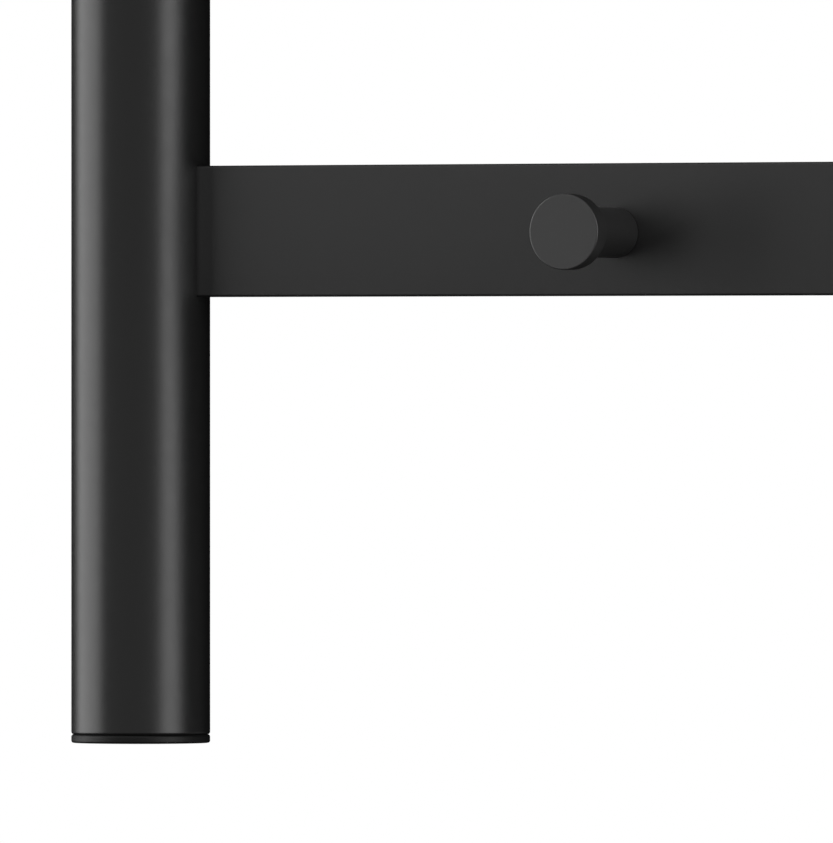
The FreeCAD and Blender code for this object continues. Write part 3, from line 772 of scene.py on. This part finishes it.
@dataclass
class EndCap:
    """A flush disc with a hollow spigot, which leaves a fine groove round the tube's end."""

    node: str
    upward: bool
    disc: float = 2.6 * MM
    edge_round: float = 0.7 * MM
    seat_round: float = 0.75 * MM
    spigot_gap: float = 2.05 * MM
    spigot_wall: float = 2.0 * MM
    root_round: float = 0.2 * MM
    spigot_round: float = 0.4 * MM
    segments: int = 192

    def build(self) -> bpy.types.Object:
        """Makes the cap from its box.

        Returns:
            The piece.
        """
        low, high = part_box(self.node)
        radius = (high.x - low.x) / 2
        end, tip, inward = (high.z, low.z, -1) if self.upward else (low.z, high.z, 1)
        seat = end + inward * self.disc
        spigot = radius - self.spigot_gap
        inner = spigot - self.spigot_wall
        corners = [(0, end, 0), (radius, end, self.edge_round), (radius, seat, self.seat_round),
                   (spigot, seat, self.root_round), (spigot, tip, self.spigot_round),
                   (inner, tip, self.spigot_round), (inner, seat, self.spigot_round), (0, seat, 0)]
        mesh = turned(corners, Axis.Z, (low + high) / 2, self.segments)
        return make_piece(self.node + "_disc", mesh, Coat.CAP, Body.FRAME, self.node)


@dataclass
class Crossbars:
    """All the flat bars: hollow, with rounded long edges, at an even pitch."""

    rows: int = 6
    wall: float = 1.5 * MM
    edge_round: float = 0.8 * MM
    inner_round_share: float = 0.4
    arc_points: int = 6

    def build(self) -> bpy.types.Object:
        """Makes the bars from the boxes of the lowest and the highest.

        Returns:
            The piece.
        """
        nodes = [f"crossbar_{row}" for row in range(1, self.rows + 1)]
        low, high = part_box(nodes[0])
        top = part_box(nodes[-1])[1]
        mesh = self.tree().mesh({
            "Length": high.x - low.x, "Height": high.z - low.z, "Depth": high.y - low.y,
            "Wall": self.wall, "Edge": self.edge_round, "Rows": self.rows,
            "Step": Vector((0, 0, (top.z - high.z) / (self.rows - 1))), "First": (low + high) / 2,
            "Coat": Coat.FLAT.value.build()})
        return make_piece("flat_crossbars", mesh, Coat.FLAT, Body.FRAME, *nodes)

    def tree(self) -> NodeBuild:
        """The tree that draws a bar's section, runs it out and repeats it upward.

        Returns:
            The tree, ready to run.
        """
        build = NodeBuild("flat crossbars", {
            "Length": "Distance", "Height": "Distance", "Depth": "Distance", "Wall": "Distance",
            "Edge": "Distance", "Rows": "Count", "Step": "Place", "First": "Place", "Coat": "Coat"})
        given = build.inputs
        outer = self.loop(build, given["Height"], given["Depth"], given["Edge"])
        twice = build.math("MULTIPLY", given["Wall"], 2.0)
        inner = self.loop(build, build.math("SUBTRACT", given["Height"], twice),
                          build.math("SUBTRACT", given["Depth"], twice),
                          build.math("MULTIPLY", given["Edge"], self.inner_round_share))
        both = build.add("GeometryNodeJoinGeometry")
        for loop in (outer, inner):
            build.tree.links.new(loop, both.node.inputs[0])
        section = build.add("GeometryNodeFillCurve", {"Curve": both}, mode="TRIANGLES")
        run = build.add("GeometryNodeExtrudeMesh", {
            "Mesh": section, "Offset": (0, 0, 1), "Offset Scale": given["Length"], "Individual": False})
        foot = build.add("GeometryNodeFlipFaces", {"Mesh": section})
        whole = build.add("GeometryNodeJoinGeometry")
        for part in (run, foot):
            build.tree.links.new(part, whole.node.inputs[0])
        bar = build.add("GeometryNodeMergeByDistance", {"Geometry": whole, "Distance": SAME_CAD_POINT})
        back = build.math("MULTIPLY", given["Length"], -0.5)
        centred = build.add("GeometryNodeTransform", {
            "Geometry": bar, "Translation": build.add("ShaderNodeCombineXYZ", {"Z": back})})
        level = build.add("GeometryNodeTransform", {"Geometry": centred, "Rotation": (0, math.pi / 2, 0)})
        places = build.add("GeometryNodeMeshLine", {
            "Count": given["Rows"], "Start Location": given["First"], "Offset": given["Step"]}, mode="OFFSET")
        build.end(build.add("GeometryNodeInstanceOnPoints", {"Points": places, "Instance": level}))
        return build

    def loop(self, build: NodeBuild, width: Any, height: Any, edge: Any) -> Any:
        """A rectangle with rounded corners.

        Args:
            build: The tree under work.
            width: Width of the loop.
            height: Its height.
            edge: Radius of its corners.

        Returns:
            The loop as a curve.
        """
        plain = build.add("GeometryNodeCurvePrimitiveQuadrilateral", {"Width": width, "Height": height})
        return build.add("GeometryNodeFilletCurve", {
            "Curve": plain, "Count": self.arc_points, "Radius": edge}, mode="POLY")


@dataclass
class Pegs:
    """The round pegs: a stem on the bar and a wider head with a finely rounded rim."""

    rows: int = 6
    columns: int = 2
    stem_radius: float = 7.6 * MM
    head_thickness: float = 6.2 * MM
    rim_round: float = 0.35 * MM
    back_round: float = 0.45 * MM
    crease: float = 0.3 * MM
    bore_radius: float = 3.05 * MM
    bore_depth: float = 15.0 * MM
    segments: int = 128

    def build(self) -> bpy.types.Object:
        """Makes every peg from the boxes of the lowest and the highest pair.

        Returns:
            The piece.
        """
        nodes = [f"pegs_row_{row}" for row in range(1, self.rows + 1)]
        low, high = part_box(nodes[0])
        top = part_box(nodes[-1])[1]
        head = (high.z - low.z) / 2
        centre = Vector(((low.x + high.x) / 2, 0.0, (low.z + top.z) / 2))
        made = on_grid(self.one(head, low.y, high.y), self.columns, self.rows,
                       high.x - low.x - 2 * head, top.z - high.z, centre, Coat.PEG)
        return make_piece("round_pegs", made, Coat.PEG, Body.FRAME, *nodes)

    def one(self, head: float, front: float, back: float) -> bpy.types.Mesh:
        """One peg about its own axis.

        Args:
            head: Radius of the head.
            front: Where its face is along Y.
            back: Where its stem meets the bar.

        Returns:
            The peg.
        """
        behind = front + self.head_thickness
        corners = [(0, front, 0), (head, front, self.rim_round), (head, behind, self.back_round),
                   (self.stem_radius, behind, self.crease), (self.stem_radius, back - self.crease, 0),
                   (self.stem_radius - self.crease, back, 0), (self.bore_radius, back, 0.0),
                   (self.bore_radius, back - self.bore_depth, 0.0), (0, back - self.bore_depth, 0)]
        return turned(corners, Axis.Y, Vector((0, 0, 0)), self.segments)


# ------------------------------------------------------------------ wall brackets
@dataclass
class WallBrackets:
    """Four telescopic brackets: welded boss, sliding rod, wall socket and its cover."""

    bevel: float = 0.5 * MM
    root_round: float = 0.1 * MM
    segments: int = 64

    def build(self) -> None:
        """Makes the rods and the pieces with saddles and cross holes."""
        low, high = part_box("bracket_rods")
        radius = self.rod_radius()
        width, height = high.x - low.x - 2 * radius, high.z - low.z - 2 * radius
        centre = Vector(((low.x + high.x) / 2, 0.0, (low.z + high.z) / 2))
        corners = [(0, low.y, 0), (radius, low.y, self.root_round), (radius, high.y, self.bevel),
                   (0, high.y, 0)]
        rod = turned(corners, Axis.Y, Vector((0, 0, 0)), self.segments)
        rods = on_grid(rod, 2, 2, width, height, centre, Coat.TUBE)
        make_piece("bracket_slide_rods", rods, Coat.TUBE, Body.FRAME, "bracket_rods")
        make_piece("bracket_weld_bosses", refined("bracket_bosses"), Coat.TUBE, Body.FRAME, "bracket_bosses")
        make_piece("wall_plates", refined("wall_sockets"), Coat.ZINC, Body.WALL, "wall_sockets")
        make_piece("rosette_covers", refined("rosettes"), Coat.TUBE, Body.WALL, "rosettes")

    def rod_radius(self) -> float:
        """Radius of a rod, from the four rods' box and the uprights between them.

        Returns:
            The radius in metres.
        """
        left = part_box("left_upright")
        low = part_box("bracket_rods")[0]
        return (left[0].x + left[1].x) / 2 - low.x


@dataclass
class WeldBeads:
    """Fine weld beads where the bosses sit on the uprights' backs."""

    bosses: str
    columns: int
    rows: int
    bead: float = 0.7 * MM
    points: int = 72
    section_points: int = 10

    def build(self) -> bpy.types.Object:
        """Makes the beads round every boss of one node.

        Returns:
            The piece.
        """
        tube_low, tube_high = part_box("left_upright")
        tube = (tube_high.x - tube_low.x) / 2
        axis_x, axis_y = (tube_low.x + tube_high.x) / 2, (tube_low.y + tube_high.y) / 2
        low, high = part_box(self.bosses)
        boss = axis_x - low.x
        height = high.z - low.z - 2 * boss
        mesh = self.tree().mesh({
            "Boss": boss, "Tube": tube, "Bead": self.bead, "Columns": self.columns, "Rows": self.rows,
            "Width": -2 * axis_x, "Height": max(height, 0.0),
            "Centre": Vector((0.0, axis_y, (low.z + high.z) / 2)), "Coat": Coat.TUBE.value.build()})
        return make_piece(self.bosses + "_welds", mesh, Coat.TUBE, Body.FRAME)

    def tree(self) -> NodeBuild:
        """The tree that bends a ring onto a tube and repeats it on a grid.

        Returns:
            The tree, ready to run.
        """
        build = NodeBuild("weld beads", {
            "Boss": "Distance", "Tube": "Distance", "Bead": "Distance", "Columns": "Count",
            "Rows": "Count", "Width": "Distance", "Height": "Distance", "Centre": "Place", "Coat": "Coat"})
        given = build.inputs
        ring = build.add("GeometryNodeCurvePrimitiveCircle", {
            "Resolution": self.points, "Radius": given["Boss"]}, mode="RADIUS")
        here = add_node(build.tree, "ShaderNodeSeparateXYZ", {0: build.add("GeometryNodeInputPosition")})
        across, upward = here.outputs["X"], here.outputs["Y"]
        depth = build.math("SUBTRACT", build.math("MULTIPLY", given["Tube"], given["Tube"]),
                           build.math("MULTIPLY", across, across))
        bent = build.add("GeometryNodeSetPosition", {"Geometry": ring, "Position": build.add(
            "ShaderNodeCombineXYZ", {"X": across, "Y": build.math("SQRT", depth), "Z": upward})})
        section = build.add("GeometryNodeCurvePrimitiveCircle", {
            "Resolution": self.section_points, "Radius": given["Bead"]}, mode="RADIUS")
        bead = build.add("GeometryNodeCurveToMesh", {"Curve": bent, "Profile Curve": section})
        grid = build.add("GeometryNodeMeshGrid", {
            "Size X": given["Width"], "Size Y": given["Height"],
            "Vertices X": given["Columns"], "Vertices Y": given["Rows"]})
        places = build.add("GeometryNodeTransform", {
            "Geometry": grid, "Rotation": (math.pi / 2, 0, 0), "Translation": given["Centre"]})
        build.end(build.add("GeometryNodeInstanceOnPoints", {"Points": places, "Instance": bead}))
        return build


# ------------------------------------------------------------------ bleed valve and filler
@dataclass
class Ports:
    """The bleed valve and the filler plug on the uprights' backs, near the top."""

    across_flats: float = 17.0 * MM
    hexagon_height: float = 5.0 * MM
    thread_radius: float = 6.55 * MM
    thread_pitch: float = 1.34 * MM
    screw_bore: float = 2.55 * MM
    screw_bore_depth: float = 7.5 * MM
    key: float = 6.0 * MM
    key_depth: float = 4.0 * MM
    segments: int = 96

    def build(self) -> None:
        """Makes both plugs, their seals and bosses; the screw keeps its own shape."""
        valve = self.plug("bleed_valve", self.screw_bore, self.screw_bore_depth, self.screw_bore * 2)
        make_piece("bleed_valve_hexagon", valve, Coat.NICKEL, Body.FRAME, "bleed_valve")
        filler = self.plug("filler_plug", self.key / math.sqrt(3), self.key_depth, self.key)
        make_piece("filler_plug_hexagon", filler, Coat.NICKEL, Body.FRAME, "filler_plug")
        make_piece("bleed_screw_slotted", refined("bleed_screw"), Coat.NICKEL, Body.BLEED, "bleed_screw")
        make_piece("port_weld_bosses", refined("port_bosses"), Coat.TUBE, Body.FRAME, "port_bosses")
        make_piece("port_seal_rings", refined("port_seals"), Coat.RUBBER, Body.FRAME, "port_seals")

    def plug(self, node: str, recess: float, depth: float, recess_flats: float) -> bpy.types.Mesh:
        """A plug with a chamfered hexagon, a thread and a recess in its back.

        Args:
            node: The CAD node that it stands for.
            recess: Radius of the recess.
            depth: Depth of the recess.
            recess_flats: Width across flats of the recess; twice its radius leaves it round.

        Returns:
            The plug.
        """
        low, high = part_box(node)
        face = high.y - self.hexagon_height
        corners = [(0, low.y, 0)] + threaded(self.thread_radius, low.y, face, self.thread_pitch)
        corners += chamfered(self.across_flats, face, high.y)
        corners += [(recess, high.y, 0), (recess, high.y - depth, 0), (0, high.y - depth, 0)]
        outside = hexagonal(self.across_flats, face, high.y, math.pi / 2)
        inside = hexagonal(recess_flats, high.y - depth, high.y, math.pi / 2)

        def cut(angle: float, radius: float, along: float) -> float:
            """The radius after the flats inside and outside are cut."""
            return inside(angle, radius, along) if radius <= recess else outside(angle, radius, along)

        return turned(corners, Axis.Y, (low + high) / 2, self.segments, reshape=cut)


# ------------------------------------------------------------------ thermostat head
@dataclass
class ThermostatHead:
    """The head under the right upright: fitting, collar, shell, dial, button and gland."""

    end_round: float = 0.5 * MM
    disc: float = 2.6 * MM
    spigot_gap: float = 2.05 * MM
    thread_radius: float = 10.45 * MM
    thread_pitch: float = 1.81 * MM
    thread_gap: float = 0.05 * MM
    hexagon_flats: float = 30.0 * MM
    hexagon_height: float = 5.0 * MM
    shank_radius: float = 10.0 * MM
    button_dish: float = 0.3 * MM
    button_rim: float = 0.7 * MM
    button_pin: float = 1.5 * MM
    pin_length: float = 1.4 * MM
    flange_depth: float = 1.2 * MM
    ring_radius: float = 1.9 * MM
    ring_width: float = 0.45 * MM
    dial_range: float = math.radians(270)
    scale_marks: int = 9
    scale_width: float = 0.7 * MM
    scale_height: float = 2.6 * MM
    scale_above_foot: float = 1.4 * MM
    scale_sunk: float = 0.3 * MM
    scale_proud: float = 0.02 * MM

    def build(self) -> None:
        """Makes every piece of the head."""
        make_piece("element_bush_disc", self.bush(), Coat.CAP, Body.FRAME, "element_bush")
        make_piece("element_hexagon", self.fitting(), Coat.NICKEL, Body.FRAME, "element_fitting")
        make_piece("element_seal_ring", self.seal(), Coat.RUBBER, Body.FRAME, "element_seal")
        make_piece("head_shell", refined("head_housing"), Coat.MOULDED, Body.FRAME, "head_housing")
        make_piece("head_top_collar", refined("head_collar"), Coat.MOULDED, Body.FRAME, "head_collar")
        make_piece("head_gland", refined("cord_gland"), Coat.MOULDED, Body.FRAME, "cord_gland")
        make_piece("dial_cup", refined("thermostat_dial"), Coat.MOULDED, Body.DIAL, "thermostat_dial")
        make_piece("dial_mark", refined("dial_pointer"), Coat.WHITE, Body.DIAL, "dial_pointer")
        make_piece("push_button", self.button(), Coat.MOULDED, Body.BUTTON, "power_button")
        make_piece("push_button_ring", self.ring(), Coat.WHITE, Body.BUTTON)
        make_piece("dial_scale", self.scale(), Coat.WHITE, Body.FRAME)

    def bush(self) -> bpy.types.Mesh:
        """The welded disc with its threaded spigot.

        Returns:
            The bush.
        """
        low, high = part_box("element_bush")
        radius = (high.x - low.x) / 2
        seat = low.z + self.disc
        spigot, bore = radius - self.spigot_gap, self.thread_radius + self.thread_gap
        corners = [(bore, low.z, 0.2 * MM), (radius, low.z, self.end_round), (radius, seat, self.end_round),
                   (spigot, seat, 0.2 * MM), (spigot, high.z, 0.4 * MM), (bore, high.z, 0.2 * MM)]
        return turned(corners, Axis.Z, (low + high) / 2, 192, closed=True)

    def fitting(self) -> bpy.types.Mesh:
        """The hexagon with its thread above and its shank below.

        Returns:
            The fitting.
        """
        low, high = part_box("element_fitting")
        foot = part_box("head_collar")[1].z
        top = foot + self.hexagon_height
        corners = [(0, low.z, 0), (self.shank_radius, low.z, 0.3 * MM), (self.shank_radius, foot, 0)]
        corners += chamfered(self.hexagon_flats, foot, top)
        corners += threaded(self.thread_radius, top, high.z, self.thread_pitch) + [(0, high.z, 0)]
        return turned(corners, Axis.Z, (low + high) / 2, 120,
                      reshape=hexagonal(self.hexagon_flats, foot, top, 0.0))

    def seal(self) -> bpy.types.Mesh:
        """The ring between hexagon and bush, with rounded edges.

        Returns:
            The ring.
        """
        low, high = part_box("element_seal")
        radius = (high.x - low.x) / 2
        bore = self.thread_radius + self.thread_gap
        corners = [(bore, low.z, 0.1 * MM), (radius, low.z, 0.4 * MM), (radius, high.z, 0.4 * MM),
                   (bore, high.z, 0.1 * MM)]
        return turned(corners, Axis.Z, (low + high) / 2, 96, closed=True)

    def button(self) -> bpy.types.Mesh:
        """The button: dished cap, flange and pin.

        Returns:
            The button.
        """
        low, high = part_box("power_button")
        centre = (low + high) / 2
        flange = (high.x - low.x) / 2
        cap, pin = flange - self.button_rim, self.button_pin
        flange_back = high.y - self.pin_length
        flange_front = flange_back - self.flange_depth
        corners = [(0, low.y + self.button_dish, 0), (cap * 0.5, low.y + self.button_dish * 0.75, 0.0),
                   (cap * 0.85, low.y, 0.4 * MM), (cap, low.y, 0.35 * MM), (cap, flange_front, 0),
                   (flange, flange_front, 0.1 * MM), (flange, flange_back, 0.1 * MM), (pin, flange_back, 0),
                   (pin, high.y, 0.2 * MM), (0, high.y, 0)]
        return turned(corners, Axis.Y, centre, 96)

    def ring(self) -> bpy.types.Mesh:
        """A plain ring inlaid in the button's dish, which marks it as the switch.

        Returns:
            The inlaid ring.
        """
        low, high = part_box("power_button")
        front = low.y + self.button_dish * 0.72
        corners = [(self.ring_radius, front, 0), (self.ring_radius + self.ring_width, front, 0),
                   (self.ring_radius + self.ring_width, front + self.button_dish, 0),
                   (self.ring_radius, front + self.button_dish, 0)]
        return turned(corners, Axis.Y, (low + high) / 2, 64, closed=True)

    def scale(self) -> bpy.types.Mesh:
        """The scale's marks, inlaid round the shell's foot over the dial's whole range.

        Returns:
            All the marks as one mesh.
        """
        low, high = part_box("head_housing")
        build = NodeBuild("dial scale", {
            "Count": "Count", "Range": "Distance", "Radius": "Distance", "Width": "Distance",
            "Height": "Distance", "Sunk": "Distance", "Centre": "Place", "Coat": "Coat"})
        given = build.inputs
        mark = build.add("GeometryNodeMeshCube", {"Size": build.add("ShaderNodeCombineXYZ", {
            "X": given["Width"], "Y": given["Sunk"], "Z": given["Height"]})})
        front = build.add("GeometryNodeTransform", {"Geometry": mark, "Translation": build.add(
            "ShaderNodeCombineXYZ", {"Y": build.math("MULTIPLY", given["Radius"], -1.0)})})
        points = build.add("GeometryNodeMeshLine", {
            "Count": given["Count"], "Offset": (0, 0, 0)}, mode="OFFSET")
        share = build.math("DIVIDE", build.add("GeometryNodeInputIndex"),
                           build.math("SUBTRACT", given["Count"], 1.0))
        turn = build.math("MULTIPLY", build.math("SUBTRACT", share, 0.5), given["Range"])
        marks = build.add("GeometryNodeInstanceOnPoints", {
            "Points": points, "Instance": front,
            "Rotation": build.add("ShaderNodeCombineXYZ", {"Z": turn})})
        build.end(build.add("GeometryNodeTransform", {"Geometry": marks, "Translation": given["Centre"]}))
        foot = low.z + self.scale_above_foot + self.scale_height / 2
        return build.mesh({
            "Count": self.scale_marks, "Range": self.dial_range, "Height": self.scale_height,
            "Radius": (high.x - low.x) / 2 - self.scale_sunk / 2 + self.scale_proud,
            "Width": self.scale_width, "Sunk": self.scale_sunk,
            "Centre": Vector(((low.x + high.x) / 2, (low.y + high.y) / 2, foot)),
            "Coat": Coat.WHITE.value.build()})


# ------------------------------------------------------------------ inner pieces
class InnerPieces:
    """The CAD pieces that keep their own mesh and only get their finish."""

    COATS = {
        Coat.ZINC: ("peg_studs", "bracket_studs", "grub_screws", "head_screws", "dial_shaft"),
        Coat.NICKEL: ("gland_nut",),
        Coat.STAINLESS: ("heater", "sensor_sleeve"),
        Coat.SILICONE: ("element_leads",),
        Coat.CLEAR: ("status_window", "status_led"),
        Coat.BOARD: ("circuit_board",),
        Coat.CASE: ("button_switch", "power_relay", "terminal_block", "dial_encoder"),
    }

    def build(self) -> None:
        """Dresses each one."""
        for coat, nodes in self.COATS.items():
            for node in nodes:
                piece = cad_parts[node]
                for place in piece.material_slots:
                    place.material = coat.value.build()
                log.info("%s: kept, %s", node, coat.value.name)


# ------------------------------------------------------------------ studio
@dataclass(frozen=True)
class Softbox:
    """A large soft light that faces the rack; brightness 1 is as bright as white paper.

    bearing is in degrees from the front, positive to the right. rise is how high it stands over
    the rack's middle, in degrees.
    """

    name: str
    bearing: float
    distance: float
    width: float
    height: float
    brightness: float
    rise: float = 0.0


@dataclass
class Studio:
    """Camera, lights, floor and background.

    Bearings and the tilt are in degrees, the lens and sensor in millimetres and lengths in metres.
    A band is where a glow starts and where it is full, as a part of the direction looked in.
    """

    view_bearing: float = 26.31
    lens_mm: float = 757.5
    sensor_mm: float = 36.0
    distance: float = 5.416
    aim_right: float = 84.20 * MM
    eye_above_foot: float = 105.74 * MM
    tilt: float = 0.0811
    floor_drop: float = 0.3
    floor_radius: float = 6.0
    floor_colour: str = "#efeeec"
    floor_glow: float = 0.55
    floor_fade: tuple[float, float] = (1.0, 4.0)
    below_glow: float = 0.04
    below_band: tuple[float, float] = (-0.3, -0.7)
    above_glow: float = 0.72
    above_band: tuple[float, float] = (0.35, 0.6)
    front_band: tuple[float, float] = (-0.2, -0.55)
    overhead_glow: float = 0.35
    overhead_band: tuple[float, float] = (0.75, 0.95)
    lights: tuple[Softbox, ...] = (
        # A large light at each side draws the tubes' two streaks; a weak wide one fills the front.
        Softbox("left softbox", -71.7, 3.0, 2.93, 3.0, 3.1),
        Softbox("right softbox", 77.0, 3.0, 1.95, 3.0, 3.75),
        Softbox("front fill", 12.3, 3.0, 5.8, 3.0, 0.43),
        # A faint light low behind keeps the back from going black.
        Softbox("low back fill", 137.0, 3.0, 1.8, 1.0, 0.32, -26.0),
    )

    def build(self) -> None:
        """Sets everything up."""
        self.camera()
        self.background()
        self.floor()
        for light in self.lights:
            self.light(light)

    def camera(self) -> None:
        """A long lens near the foot of the left upright, level but for a slight tilt."""
        low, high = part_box("left_upright")
        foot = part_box("cap_lower_left")[0].z
        bearing = math.radians(self.view_bearing)
        right = Vector((math.cos(bearing), math.sin(bearing), 0))
        forward = Vector((-math.sin(bearing), math.cos(bearing), 0))
        axis = Vector(((low.x + high.x) / 2, (low.y + high.y) / 2, foot + self.eye_above_foot))
        data = bpy.data.cameras.new("camera")
        data.lens, data.sensor_width = self.lens_mm, self.sensor_mm
        data.clip_start, data.clip_end = 0.1, 100.0
        camera = bpy.data.objects.new("camera", data)
        camera.location = axis + right * self.aim_right - forward * self.distance
        camera.rotation_euler = (math.radians(90 - self.tilt), 0, bearing)
        bpy.context.scene.collection.objects.link(camera)
        bpy.context.scene.camera = camera

    def background(self) -> None:
        """A white background, whose own light comes softly from above and from below."""
        scene = bpy.context.scene
        scene.view_settings.view_transform = "Standard"
        world = bpy.data.worlds.new("studio")
        scene.world = world
        world.use_nodes = True
        tree = world.node_tree
        tree.nodes.clear()
        seen = add_node(tree, "ShaderNodeLightPath").outputs["Is Camera Ray"]
        toward = add_node(tree, "ShaderNodeTexCoord").outputs["Generated"]
        split = add_node(tree, "ShaderNodeSeparateXYZ", {0: toward})
        above = self.glow(tree, split.outputs["Z"], self.above_band, self.above_glow)
        front = self.glow(tree, split.outputs["Y"], self.front_band, 1.0)
        below = self.glow(tree, split.outputs["Z"], self.below_band, self.below_glow)
        overhead = self.glow(tree, split.outputs["Z"], self.overhead_band, self.overhead_glow)
        rest = add_node(tree, "ShaderNodeMath", {0: below, 1: overhead}, operation="ADD")
        every = add_node(tree, "ShaderNodeMath", {
            0: above, 1: front, 2: rest.outputs[0]}, operation="MULTIPLY_ADD")
        dim = add_node(tree, "ShaderNodeBackground", {"Color": (1, 1, 1, 1), "Strength": every.outputs[0]})
        white = add_node(tree, "ShaderNodeBackground", {"Color": (1, 1, 1, 1), "Strength": 1.0})
        mixed = add_node(tree, "ShaderNodeMixShader", {0: seen, 1: dim.outputs[0], 2: white.outputs[0]})
        add_node(tree, "ShaderNodeOutputWorld", {"Surface": mixed.outputs[0]})

    def glow(self, tree: bpy.types.NodeTree, part: Any, band: tuple[float, float], most: float) -> Any:
        """A glow that grows over a band of directions.

        Args:
            tree: The background's tree.
            part: The part of the direction that drives it.
            band: Where it starts and where it is full.
            most: Its strength where it is full.

        Returns:
            Its strength.
        """
        return add_node(tree, "ShaderNodeMapRange", {
            "Value": part, "From Min": band[0], "From Max": band[1], "To Max": most}).outputs[0]

    def floor(self) -> None:
        """A plain pale floor, which fades into the background towards its rim."""
        work = bmesh.new()
        height = CAD_BOX[0][2] - self.floor_drop
        bmesh.ops.create_circle(work, cap_ends=True, segments=96, radius=self.floor_radius,
                                matrix=Matrix.Translation((0, 0, height)))
        mesh = bpy.data.meshes.new("floor")
        work.to_mesh(mesh)
        work.free()
        material = bpy.data.materials.new("pale floor")
        material.use_nodes = True
        tree = material.node_tree
        tree.nodes.clear()
        where = add_node(tree, "ShaderNodeTexCoord").outputs["Object"]
        away = add_node(tree, "ShaderNodeVectorMath", {0: where}, operation="LENGTH").outputs["Value"]
        fade = add_node(tree, "ShaderNodeMapRange", {
            "Value": away, "From Min": self.floor_fade[0], "From Max": self.floor_fade[1],
            "To Min": self.floor_glow})
        paint = add_node(tree, "ShaderNodeBsdfDiffuse", {"Color": linear(self.floor_colour)})
        glow = add_node(tree, "ShaderNodeEmission", {"Color": (1, 1, 1, 1)})
        mixed = add_node(tree, "ShaderNodeMixShader", {
            0: fade.outputs[0], 1: paint.outputs[0], 2: glow.outputs[0]})
        add_node(tree, "ShaderNodeOutputMaterial", {"Surface": mixed.outputs[0]})
        mesh.materials.append(material)
        floor = bpy.data.objects.new("floor", mesh)
        bpy.context.scene.collection.objects.link(floor)
        floor.visible_diffuse = floor.visible_glossy = floor.visible_shadow = False

    def light(self, light: Softbox) -> None:
        """Hangs one light and turns it to the rack.

        Args:
            light: What to set up.
        """
        bearing, rise = math.radians(light.bearing), math.radians(light.rise)
        data = bpy.data.lights.new(light.name, "AREA")
        data.shape, data.size, data.size_y = "RECTANGLE", light.width, light.height
        data.energy = light.brightness * math.pi * light.width * light.height
        lamp = bpy.data.objects.new(light.name, data)
        level, upward = math.cos(rise) * light.distance, math.sin(rise) * light.distance
        lamp.location = (math.sin(bearing) * level, -math.cos(bearing) * level, upward)
        lamp.rotation_euler = (math.radians(90) - rise, 0, bearing)
        lamp.visible_camera = False
        bpy.context.scene.collection.objects.link(lamp)


def main() -> None:
    """Builds the rack's pieces in order, then the studio."""
    logging.basicConfig(level=logging.INFO, format="%(name)s %(message)s")
    for node in ("left_upright", "right_upright"):
        Upright(node).build()
    for node in ("cap_lower_left", "cap_upper_left", "cap_upper_right"):
        EndCap(node, upward="upper" in node).build()
    Crossbars().build()
    Pegs().build()
    WallBrackets().build()
    WeldBeads("bracket_bosses", 2, 2).build()
    Ports().build()
    ThermostatHead().build()
    InnerPieces().build()
    Studio().build()


if __name__ == "__main__":
    main()
